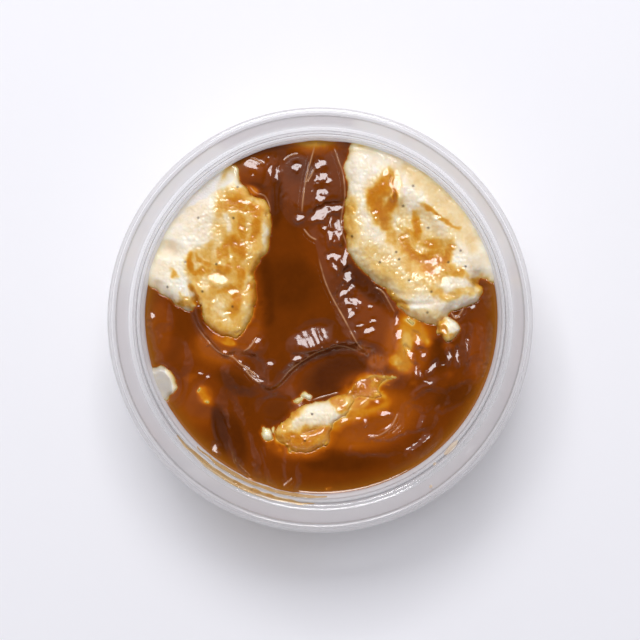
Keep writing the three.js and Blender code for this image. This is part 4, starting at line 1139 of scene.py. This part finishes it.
# Gravy ends in a blunt edge, which looks this much thicker at once. Where it is feathered, it thins
# out to nothing: the share of feathering, and place.
BLUNT_EDGE, BLUNT_OVER = 1.0, 0.1
FEATHERED = ovals([
    (1, -32.7, -21.7, 3.6, 4.2), (1, 13.2, -20.6, 12.3, 8.4), (1, -21.8, 5.1, 8.8, 21.3, 0.1),
    (1, -27.7, -7.5, 12.3, 8.4), (1, 24.3, -7.5, 10.1, 14), (1, 13.7, -28.5, 21.3, 12.9, 0.3),
    (1, -5.9, -35.5, 14, 6.7),
])


def seen_depth(x, y, film):
    """Thickness of gravy that light goes through, as far as the eye can tell. Its tones also paint shade
    in hollows and light where the wall shades the gravy.
    """
    deep = np.full(x.shape, MIDDLE_DEPTH)
    for thickness, place in DEPTH_TONES_SHADE_AND_LIGHT:
        deep = deep + (thickness - deep) * smooth_step(1.4 * hump(x, y, **place))
    uneven = UNEVEN_DEEP + UNEVEN_THIN * smooth_step((THIN_FROM - deep) / THIN_OVER)
    deep = deep * (1 + uneven * grain(x, y, 2.6, seed=51) + 0.6 * uneven * grain(x, y, 1.0, seed=52))
    feather = np.zeros(x.shape)
    for share, place in FEATHERED:
        feather = np.maximum(feather, share * smooth_step(2 * hump(x, y, **place)))
    seen = film + stain_depth(x, y) + BLUNT_EDGE * (1 - feather) * smooth_step(film / BLUNT_OVER)
    return deep * (1 - np.exp(-seen / deep * (1 + 0.5 * seen)))


# %% [markdown]
# ## From heights to meshes
#
# A round dish wants a round grid. Ring k has 6k points, so all triangles are nearly the same size
# from the middle to the wall, and the last ring can follow the wall exactly. The mash is closed
# by a side along the wall and a bottom on the tub's floor. Both reach just into the plastic, so
# that no dark gap of air shows between food and tub.

# %% A round grid of triangles
def ring_start(k):
    """Number of the first point of ring k."""
    return 1 + 3 * k * (k - 1) if k else 0


def round_grid(rings):
    """Unit disc as (x, y) points, each point's ring number, and triangles."""
    ring = np.concatenate([[0]] + [np.full(6 * k, k) for k in range(1, rings + 1)])
    turn = np.concatenate([[0.0]] + [np.arange(6 * k) / (6 * k) for k in range(1, rings + 1)])
    disc = np.column_stack([np.cos(2 * np.pi * turn), np.sin(2 * np.pi * turn)])
    disc *= (ring / rings)[:, None]
    faces = []
    for k in range(1, rings + 1):
        outer = np.arange(6 * k)
        sixth, i = outer // k, outer % k
        inner = sixth * (k - 1) + i
        a = ring_start(k - 1) + (inner % max(6 * (k - 1), 1))
        b, c = ring_start(k) + outer, ring_start(k) + (outer + 1) % (6 * k)
        faces.append(np.column_stack([a, b, c]))
        fill = i < k - 1
        d = ring_start(k - 1) + ((inner + 1) % max(6 * (k - 1), 1))
        faces.append(np.column_stack([a, c, d])[fill])
    return disc, ring, np.vstack(faces)


def to_the_wall(disc, height, bite):
    """Stretches the unit disc so that its edge lies just inside the plastic at the food's level."""
    radius = np.hypot(disc[:, 0], disc[:, 1])
    outward = disc / np.maximum(radius, 1e-9)[:, None]
    guess = wall_radius(GRAVY_LEVEL)
    edge_z = height(outward[:, 0] * guess, outward[:, 1] * guess)
    return disc * (wall_radius(edge_z) + bite)[:, None]


# %% Mesh of the mash
MASH_RINGS = 166
# How far the mash reaches into the wall, in mm.
MASH_BITE = 0.22
SIDE_LEVELS = 8

disc, _, top_faces = round_grid(MASH_RINGS)
plan = to_the_wall(disc, mash_height, MASH_BITE)
mash_top = mash_height(plan[:, 0], plan[:, 1])
mash_points = [np.column_stack([plan, mash_top])]
around = 6 * MASH_RINGS
rim = mash_points[0][-around:]
outward = rim[:, :2] / np.hypot(rim[:, 0], rim[:, 1])[:, None]
for share in np.arange(1, SIDE_LEVELS + 1) / SIDE_LEVELS:
    z = rim[:, 2] + (WALL_BOTTOM[1] - rim[:, 2]) * share
    mash_points.append(np.column_stack([outward * (wall_radius(z) + MASH_BITE)[:, None], z]))
groove_z = SHEET - MASH_BITE
for radius, z in [(foot_outer - 0.5, groove_z), (foot_inner - 0.2, groove_z),
                  (foot_inner - 1.3, floor_z - MASH_BITE), (foot_inner / 2, floor_z - MASH_BITE)]:
    mash_points.append(np.column_stack([outward * radius, np.full(around, z)]))
mash_points.append(np.array([[0, 0, floor_z - MASH_BITE]]))
mash_points = np.vstack(mash_points)

mash_faces = top_faces.tolist()
levels = (len(mash_points) - 1 - len(disc)) // around
for level in range(levels):
    upper = len(disc) - around + level * around
    lower = upper + around
    for j in range(around):
        following = (j + 1) % around
        mash_faces.append((upper + j, lower + j, lower + following, upper + following))
middle = len(mash_points) - 1
mash_faces += [(middle, middle - around + (j + 1) % around, middle - around + j) for j in range(around)]
print("mash top between", mash_top.min().round(1), "and", mash_top.max().round(1), "mm")

# %% Mesh of the gravy
GRAVY_RINGS = 148
GRAVY_BITE = 0.32
# The gravy's underside lies OVERLAP inside the mash. Its sheet ends where its skin has gone
# KEPT_FILM into the mash, so its edge never shows.
OVERLAP = 0.6
KEPT_FILM = -0.3

gravy_disc, gravy_ring, gravy_faces = round_grid(GRAVY_RINGS)
gravy_plan = to_the_wall(gravy_disc, gravy_height, GRAVY_BITE)
gravy_x, gravy_y = gravy_plan[:, 0], gravy_plan[:, 1]
bed, gravy_top = mash_height(gravy_x, gravy_y), gravy_height(gravy_x, gravy_y)
film = gravy_top - bed
gravy_faces = gravy_faces[(film[gravy_faces] > KEPT_FILM).all(1)]
under = np.minimum(bed, gravy_top) - OVERLAP
lean = (wall_radius(under) + GRAVY_BITE) / (wall_radius(gravy_top) + GRAVY_BITE)
lean = 1 + (lean - 1) * smooth_step((gravy_ring / GRAVY_RINGS - 0.8) / 0.2)

edges = np.vstack([gravy_faces[:, [0, 1]], gravy_faces[:, [1, 2]], gravy_faces[:, [2, 0]]])
edge_keys = edges[:, 0] * len(gravy_plan) + edges[:, 1]
twin_keys = edges[:, 1] * len(gravy_plan) + edges[:, 0]
border = edges[~np.isin(edge_keys, twin_keys)]
shift = len(gravy_plan)
all_faces = np.vstack([gravy_faces, gravy_faces[:, ::-1] + shift])
sides = np.column_stack([border[:, 1], border[:, 0], border[:, 0] + shift, border[:, 1] + shift])
all_points = np.vstack([np.column_stack([gravy_plan, gravy_top]),
                        np.column_stack([gravy_plan * lean[:, None], under])])
used = np.unique(all_faces)
renumber = np.full(len(all_points), -1)
renumber[used] = np.arange(len(used))
gravy_points = all_points[used]
gravy_mesh_faces = renumber[all_faces].tolist() + renumber[sides].tolist()
film_depth = seen_depth(gravy_x, gravy_y, np.maximum(film, 0))
film_values = np.concatenate([film_depth, film_depth])[used]
print("gravy covers", round(float((film > 0).mean()) * 100), "% of the tub")

# %% [markdown]
# ## Mash: potato, milk and butter, beaten
#
# Mash is cream white and faintly yellow. Light goes a millimetre or two into it, so its shadows
# are soft and warm: that is subsurface scattering, with red travelling furthest. Its surface is
# moist, so small wet glints sit on a dull body. Where gravy has run over it, the film's thickness
# is stored in the mesh, and the film colours it by the law of absorption: each colour fades
# exponentially with thickness, blue fastest, then green, then red.

# %% Colour of a film of gravy over mash
MASH_CREAM = "F5EBD7"
# How fast red, green and blue fade, and the gravy's own colour at thicknesses in mm.
FADE_PER_MM = (1.2, 3.5, 10.0)
GRAVY_AT = [(1.2, "764B0A"), (2.04, "643705"), (3.12, "462202"), (5.1, "381902")]
THICKEST = 6.0


def vector_mix(tree, factor, low, high):
    """Mixes two colours with a factor of its own for each channel."""
    mix = add_node(tree, "Mix", {"data_type": "VECTOR", "factor_mode": "NON_UNIFORM"})
    named = {socket.identifier: socket for socket in mix.inputs}
    for key, value in (("Factor_Vector", factor), ("A_Vector", low), ("B_Vector", high)):
        set_input(tree, named[key], value[:3] if isinstance(value, tuple) else value)
    return {socket.identifier: socket for socket in mix.outputs}["Result_Vector"]


def film_over(tree, film, cream):
    """The colour of mash under a film of gravy, which is stored in the mesh in mm."""
    shares = add_node(tree, "CombineXYZ")
    for axis, fade in zip("XYZ", FADE_PER_MM):
        left = add_node(tree, "Math", {"operation": "POWER"}, {0: float(np.exp(-fade)), 1: film})
        set_input(tree, shares.inputs[axis], left)
    share = add_node(tree, "Math", {"operation": "DIVIDE"}, {0: film, 1: THICKEST})
    body = add_node(tree, "ValToRGB", inputs={0: share}, stops=[
        (thickness / THICKEST, linear(colour)) for thickness, colour in GRAVY_AT])
    return vector_mix(tree, shares, body, cream)


# %% Mashed potato
# Sizes in mm of the mottling in its colour and of its finest grain, and how far light goes in it.
MOTTLE_SIZE = 4.0
GRAIN_SIZE, GRAIN_HEIGHT = 0.55, 0.25
LIGHT_REACH = 3.2


def mashed_potato():
    """Looks soft, moist and opaque, and shiny where gravy coats it."""
    material, tree = new_material("beaten_potato_mash")
    place = add_node(tree, "TexCoord").outputs["Object"]
    stain, pressed, pepper = (add_node(tree, "Attribute", {"attribute_name": name}).outputs["Fac"]
                              for name in ("stain", "pressed", "pepper"))
    mottle = add_node(tree, "TexNoise", inputs={
        "Vector": place, "Scale": 1 / (MOTTLE_SIZE * MM), "Detail": 4.0})
    cream = add_node(tree, "ValToRGB", inputs={0: mottle.outputs["Fac"]}, stops=[
        (0.3, linear("EDDFC4")), (0.55, linear(MASH_CREAM)), (0.75, linear("FAF4E8"))])
    # Near the wall the cream turns grey, which is partly painted shade where the mash meets the wall.
    grey = add_node(tree, "ValToRGB", inputs={0: pressed}, stops=[
        (0.5, linear("E9E6E2")), (1.0, linear("C2BEBA"))])
    twice = add_node(tree, "Math", {"operation": "MULTIPLY", "use_clamp": True}, {0: pressed, 1: 2.0})
    cream = vector_mix(tree, twice, cream, grey)
    stained = film_over(tree, stain, cream)
    colour = vector_mix(tree, pepper, stained, linear("4A3018"))
    fine = add_node(tree, "TexNoise", inputs={
        "Vector": place, "Scale": 1 / (GRAIN_SIZE * MM), "Detail": 3.0})
    bump = add_node(tree, "Bump", inputs={
        "Height": fine.outputs["Fac"], "Strength": 0.45, "Distance": GRAIN_HEIGHT * MM})
    wet = add_node(tree, "MapRange", inputs={
        "Value": stain, "From Max": 0.3, "To Min": 0.42, "To Max": 0.16})
    coated = add_node(tree, "MapRange", inputs={
        "Value": stain, "From Max": 0.15, "To Min": 0.25, "To Max": 0.9})
    surface = add_node(tree, "BsdfPrincipled", inputs={
        "Base Color": colour, "Roughness": wet, "IOR": 1.4, "Specular IOR Level": 0.2,
        "Subsurface Weight": 0.85, "Subsurface Radius": (1.0, 0.8, 0.55),
        "Subsurface Scale": LIGHT_REACH * MM, "Coat Weight": coated, "Coat Roughness": 0.08,
        "Coat IOR": 1.52, "Normal": bump})
    add_node(tree, "OutputMaterial", inputs={"Surface": surface})
    return material


# %% Pepper specks, stains and the piece
PEPPER = [
    [-23.2, 36.7], [-24.3, 28.1], [-34.1, 28.1], [-29.1, 15.2], [-33, 7.6], [-24.6, 3.4],
    [-42.8, 8.8], [22.9, 31.4], [29.9, 25.3], [25.7, 37], [21, 18.6], [21.8, 16.6], [40.3, 14.6],
    [30.8, 7.6], [29.7, 1.8], [38.9, 19.1], [-37.8, 15.8], [-4.5, -34.3], [16.5, 15.8], [8.7, 23],
    [24.6, 10.7], [35.5, 15.8], [-2.5, -26.8]]
SPECK_RADIUS = 0.34
SPECK_DARKNESS = 0.85
# Mash soaks up gravy along its waterline: thickness there, and height over which it fades.
SOAKED_STAIN = 0.2
SOAKED_REACH = 0.45

stain, specks = np.zeros(len(mash_points)), np.zeros(len(mash_points))
disc_x, disc_y = plan[:, 0], plan[:, 1]
stain[:len(disc)] = stain_depth(disc_x, disc_y)
lift = mash_points[:len(disc), 2] - gravy_height(disc_x, disc_y) - DRY_DROP * dry_share(disc_x, disc_y)
soaked = SOAKED_STAIN * np.exp(-np.clip(lift, 0, None) / SOAKED_REACH)
soaked = soaked * (1 - smooth_step(2 * hump(disc_x, disc_y, **NOTCH)))
stain[:len(disc)] += soaked * np.clip(1 + 0.6 * grain(disc_x, disc_y, 1.6, seed=71), 0, 2)
for speck_x, speck_y in PEPPER:
    away = np.hypot(mash_points[:, 0] - speck_x, mash_points[:, 1] - speck_y)
    specks = np.maximum(specks, smooth_step(1.5 - away / SPECK_RADIUS))
smeared_and_shaded_values = smeared_and_shaded_at_wall(mash_points[:, 0], mash_points[:, 1])
mash = make_piece("potato_mash", mash_points, mash_faces, mashed_potato(),
                  {"stain": stain, "pepper": SPECK_DARKNESS * specks, "pressed": smeared_and_shaded_values})
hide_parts("mash")

# %% [markdown]
# ## Brown gravy: stock thickened with starch
#
# A glossy skin over a dark body. The skin is a clear coat, which gives the small hard highlights,
# and under it the colour comes from the film's thickness, as on the mash. At the wall an amber glow
# is painted into the colour, for light that comes in through the clear wall. The finest ridges are
# thinner than the mesh can hold. They could be painted in an image, but here each point of the mesh
# stores its distance to the nearest ridge, and the material turns that into a bead: a bump, and a
# paler line where the skin stands up, partly as thinner skin and partly as a painted highlight.
# That stays sharp at any size of picture.

# %% Brown gravy
# Sizes in mm. A ridge stands up as far as its width and is paler by a share, partly as thinner skin
# and partly as a painted highlight.
RIDGE_WIDTH = 0.2
RIDGE_PALE_AND_HIGHLIGHT = 0.75
SKIN_SIZE, SKIN_HEIGHT = 0.9, 0.1


def brown_gravy():
    """Looks dark, deep and glossy, with an amber glow painted in at the wall."""
    material, tree = new_material("thick_brown_gravy")
    place = add_node(tree, "TexCoord").outputs["Object"]
    film, rim, away, strength = (add_node(tree, "Attribute", {"attribute_name": name}).outputs["Fac"]
                                 for name in ("film", "rim", "ridge_distance", "ridge_strength"))
    above_nothing = add_node(tree, "Math", {"operation": "MAXIMUM"}, {0: film, 1: 0.0})
    colour = film_over(tree, above_nothing, linear(MASH_CREAM))
    # The rim attribute mixes in a painted amber glow at the wall, for light that comes in through the
    # clear wall.
    edge = vector_mix(tree, rim, colour, linear("9C641C"))
    fine = add_node(tree, "TexNoise", inputs={
        "Vector": place, "Scale": 1 / (SKIN_SIZE * MM), "Detail": 2.0})
    bump = add_node(tree, "Bump", inputs={
        "Height": fine.outputs["Fac"], "Strength": 0.1, "Distance": SKIN_HEIGHT * MM})
    square = add_node(tree, "Math", {"operation": "MULTIPLY"}, {0: away, 1: away})
    fall = add_node(tree, "Math", {"operation": "MULTIPLY"}, {0: square, 1: -1 / RIDGE_WIDTH ** 2})
    profile = add_node(tree, "Math", {"operation": "EXPONENT"}, {0: fall})
    bead = add_node(tree, "Math", {"operation": "MULTIPLY"}, {0: profile, 1: strength})
    # The paler line along each ridge is partly thinner skin and partly a painted highlight.
    thin = add_node(tree, "Math", {"operation": "MULTIPLY"}, {0: bead, 1: RIDGE_PALE_AND_HIGHLIGHT})
    skin = vector_mix(tree, thin, edge, linear("D9A679"))
    bump = add_node(tree, "Bump", inputs={
        "Height": bead, "Strength": 0.7, "Distance": RIDGE_WIDTH * MM, "Normal": bump})
    surface = add_node(tree, "BsdfPrincipled", inputs={
        "Base Color": skin, "Roughness": 0.4, "IOR": 1.38, "Specular IOR Level": 0.0,
        "Coat Weight": 1.0, "Coat Roughness": 0.06, "Coat IOR": 1.5,
        "Normal": bump, "Coat Normal": bump})
    add_node(tree, "OutputMaterial", inputs={"Surface": surface})
    return material


# The painted amber glow at the wall, which stands for light that comes in through the clear wall:
# its strength and how far in it reaches, in mm. Towards the back of the tub it fades: from where,
# over how far, and by what share.
PAINTED_WALL_GLOW, PAINTED_GLOW_REACH = 0.6, 1.9
BACK_FROM, BACK_FADE, BACK_LOSS = 42, 4, 0.85
to_wall = wall_radius(gravy_points[:, 2]) - np.hypot(gravy_points[:, 0], gravy_points[:, 1])
ridge_distance, ridge_strength = nearest_ridge(gravy_points[:, 0], gravy_points[:, 1])
painted_glow_values = PAINTED_WALL_GLOW * np.exp(-(np.clip(to_wall, 0, None) / PAINTED_GLOW_REACH) ** 1.5)
painted_glow_values *= 1 - BACK_LOSS * smooth_step((gravy_points[:, 1] - BACK_FROM) / BACK_FADE)
gravy = make_piece("brown_gravy", gravy_points, gravy_mesh_faces, brown_gravy(), {
    "film": film_values, "rim": painted_glow_values,
    "ridge_distance": ridge_distance, "ridge_strength": ridge_strength})
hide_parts("gravy")

# %% [markdown]
# ## Smears and drops
#
# Filling a tub is not tidy: some gravy has wiped along the ledge and a little mash sticks to the
# wall. Each is a thin bead that lies along an arc of the tub, lens-shaped across, with uneven width
# and pointed ends. It takes its height from the plastic under it and rests just clear of it.

# %% A bead of food along an arc of the tub
BEAD_STEPS = 90
BEAD_SIDES = 10
# A bead is flat underneath: its section is cut off at this share of its height, below the middle.
UNDERSIDE = -0.3
# The height is read this far out, which lifts a bead on a steep wall clear of the plastic.
CLEARANCE = 0.12
# Shares by which its middle line and its width wander.
SWAY, UNEVEN_WIDTH = 0.4, 0.4


def sheet_top(radius):
    """Height of the plastic's upper face at a radius outside the food."""
    outer = sheet_inside[:, 0] > WALL_TOP[0] - 1
    return np.interp(radius, sheet_inside[outer, 0], sheet_inside[outer, 1])


def smear(name, radius, degrees, width, height, material, seed):
    """A flat bead on the plastic: half width and height in mm, narrower at its ends."""
    share = np.linspace(0, 1, BEAD_STEPS)
    angle = np.radians(degrees[0] + (degrees[1] - degrees[0]) * share)
    along = radius * angle
    row = np.full(BEAD_STEPS, float(seed))
    middle = radius + SWAY * width * grain(along, row, 3.0, seed=seed)
    taper = np.sqrt(np.sin(np.pi * (0.02 + 0.96 * share)))
    taper = taper * (1 + UNEVEN_WIDTH * grain(along, row, 2.0, seed=seed + 1))
    points = []
    for k in range(BEAD_SIDES):
        turn = 2 * np.pi * k / BEAD_SIDES
        out = middle + width * taper * np.cos(turn)
        lift = height * taper * max(np.sin(turn), UNDERSIDE)
        height_there = sheet_top(out + CLEARANCE) + lift
        points.append(np.column_stack([out * np.cos(angle), out * np.sin(angle), height_there]))
    points = np.stack(points, 1).reshape(-1, 3)
    faces = []
    for i in range(BEAD_STEPS - 1):
        for k in range(BEAD_SIDES):
            after = (k + 1) % BEAD_SIDES
            faces.append((i * BEAD_SIDES + k, i * BEAD_SIDES + after,
                          (i + 1) * BEAD_SIDES + after, (i + 1) * BEAD_SIDES + k))
    faces.append(tuple(range(BEAD_SIDES))[::-1])
    faces.append(tuple(range((BEAD_STEPS - 1) * BEAD_SIDES, BEAD_STEPS * BEAD_SIDES)))
    return make_piece(name, points, faces, material)


# %% Smears
GLOSS_SHARE = 0.08


def wiped_film(name, colour, clear_share):
    """Looks like a wet streak: its own colour, with part of the plastic showing through."""
    material, tree = new_material(name)
    body = add_node(tree, "BsdfPrincipled", inputs={
        "Base Color": linear(colour), "Roughness": 0.4, "IOR": 1.38})
    through = add_node(tree, "BsdfTransparent", inputs={"Color": linear("FBEFD6")})
    mixed = add_node(tree, "MixShader", inputs={"Fac": clear_share, 1: body, 2: through})
    gloss = add_node(tree, "BsdfAnisotropic", inputs={"Color": linear("FFFFFF"), "Roughness": 0.08})
    wet = add_node(tree, "MixShader", inputs={"Fac": GLOSS_SHARE, 1: mixed, 2: gloss})
    add_node(tree, "OutputMaterial", inputs={"Surface": wet})
    return material


wiped_gravy = wiped_film("wiped_gravy_film", "F0CC88", 0.82)
wiped_mash = wiped_film("wiped_mash_film", "E9DFD3", 0.5)
# Name, material, slot, radius, first and last angle in degrees, half width, height.
SMEARS = [
    ("gravy_smear_on_ledge", wiped_gravy, "brown_gravy", 51.5, (219, 268), 0.5, 0.05),
    ("gravy_streak_inner", wiped_gravy, "brown_gravy", 51.1, (223, 262), 0.14, 0.1),
    ("gravy_streak_outer", wiped_gravy, "brown_gravy", 52.1, (231, 256), 0.16, 0.12),
    ("gravy_film_on_wall", wiped_gravy, "brown_gravy", 49.85, (226, 272), 0.35, 0.08),
    ("gravy_drop_1", wiped_gravy, "brown_gravy", 51.15, (241.5, 244.5), 0.5, 0.3),
    ("gravy_drop_2", wiped_gravy, "brown_gravy", 51.2, (247.5, 251.0), 0.5, 0.3),
    ("gravy_drop_3", wiped_gravy, "brown_gravy", 51.2, (252.6, 255.4), 0.55, 0.35),
    ("mash_smear", wiped_mash, "mashed_potato", 51.0, (312.4, 318.6), 0.6, 0.4),
    ("mash_drop_1", wiped_mash, "mashed_potato", 51.3, (307.7, 308.8), 0.4, 0.3),
    ("mash_drop_2", wiped_mash, "mashed_potato", 55.0, (303.2, 304.2), 0.4, 0.3),
]
FIRST_SEED = 81
for number, (name, film_material, slot, radius, degrees, width, height) in enumerate(SMEARS):
    smear(name, radius, degrees, width, height, film_material, FIRST_SEED + 2 * number)

# %% [markdown]
# ## Floor, light and surroundings
#
# A white sweep under one soft box, high and a little behind the tub, in a pale room. The room is
# dark straight overhead, where the camera hangs: level gravy mirrors that and looks deep brown,
# while gravy that tilts mirrors the pale room and gets a lilac sheen.

# %% Floor
FLOOR_SIDE = 6.0


def white_sweep():
    """Looks plain and matt, so the only marks on the floor are the tub's own shadow and glow."""
    material, tree = new_material("matt_white_laminate")
    surface = add_node(tree, "BsdfPrincipled", inputs={
        "Base Color": linear("F4F5F9"), "Roughness": 0.7, "Specular IOR Level": 0.2})
    add_node(tree, "OutputMaterial", inputs={"Surface": surface})
    return material


half_floor = FLOOR_SIDE / 2
floor_mesh = bpy.data.meshes.new("floor")
floor_mesh.from_pydata([(sx * half_floor, sy * half_floor, 0) for sx, sy in
                        ((-1, -1), (1, -1), (1, 1), (-1, 1))], [], [(0, 1, 2, 3)])
floor_mesh.materials.append(white_sweep())
floor = bpy.data.objects.new("floor", floor_mesh)
bpy.context.scene.collection.objects.link(floor)
print("floor side in metres:", FLOOR_SIDE)

# %% Soft box
KEY_DIRECTION = Vector((-0.05, 0.48, 0.875)).normalized()
KEY_DISTANCE = 1.2
KEY_SIZE = (0.52, 0.42)
KEY_WATTS = 9.6

key_data = bpy.data.lights.new("soft_box", "AREA")
key_data.shape = "RECTANGLE"
key_data.size, key_data.size_y = KEY_SIZE
key_data.energy = KEY_WATTS
key_data.color = (1.0, 0.985, 1.0)
key = bpy.data.objects.new("soft_box", key_data)
key.location = KEY_DIRECTION * KEY_DISTANCE
key.rotation_mode = "QUATERNION"
key.rotation_quaternion = KEY_DIRECTION.to_track_quat("Z", "Y")
bpy.context.scene.collection.objects.link(key)
print("soft box at", [round(value, 2) for value in key.location])

# %% Room
# Brightness of the room at degrees from straight up, and of the glow at degrees round the soft box.
ROOM_AT = [(9, 0.03), (18, 0.5), (50, 1.0), (85, 2.2)]
GLOW_AT = [(6, 1.0), (50, 0.0)]
ROOM_LIGHT = 0.27
GLOW_LIGHT = 1.05
ROOM_TINT = (1.0, 0.985, 1.04, 1.0)

world = bpy.data.worlds.new("room")
world.use_nodes = True
bpy.context.scene.world = world
room = world.node_tree
room.nodes.clear()


def by_angle(cosine, table):
    """A grey that depends on the angle whose cosine comes in, from a table in degrees."""
    angle = add_node(room, "Math", {"operation": "ARCCOSINE"}, {0: cosine})
    half_turns = add_node(room, "Math", {"operation": "DIVIDE"}, {0: angle, 1: np.pi})
    return add_node(room, "ValToRGB", inputs={0: half_turns}, stops=[
        (degrees / 180, (value, value, value, 1.0)) for degrees, value in table])


heading = add_node(room, "TexCoord").outputs["Generated"]
height = add_node(room, "SeparateXYZ", inputs={0: heading}).outputs["Z"]
overhead = by_angle(height, ROOM_AT)
towards_key = add_node(room, "VectorMath", {"operation": "DOT_PRODUCT"},
                       {0: heading, 1: tuple(KEY_DIRECTION)})
glow = by_angle(towards_key.outputs["Value"], GLOW_AT)
glow.color_ramp.interpolation = "EASE"
level = add_node(room, "MapRange", inputs={
    "Value": glow, "To Min": ROOM_LIGHT, "To Max": ROOM_LIGHT + GLOW_LIGHT})
brightness = add_node(room, "Math", {"operation": "MULTIPLY"}, {0: level, 1: overhead})
sky = add_node(room, "Background", inputs={"Color": ROOM_TINT, "Strength": brightness})
add_node(room, "OutputWorld", inputs={"Surface": sky})

view = bpy.context.scene.view_settings
view.view_transform = "Standard"
view.look = "None"
print("room nodes:", len(room.nodes))
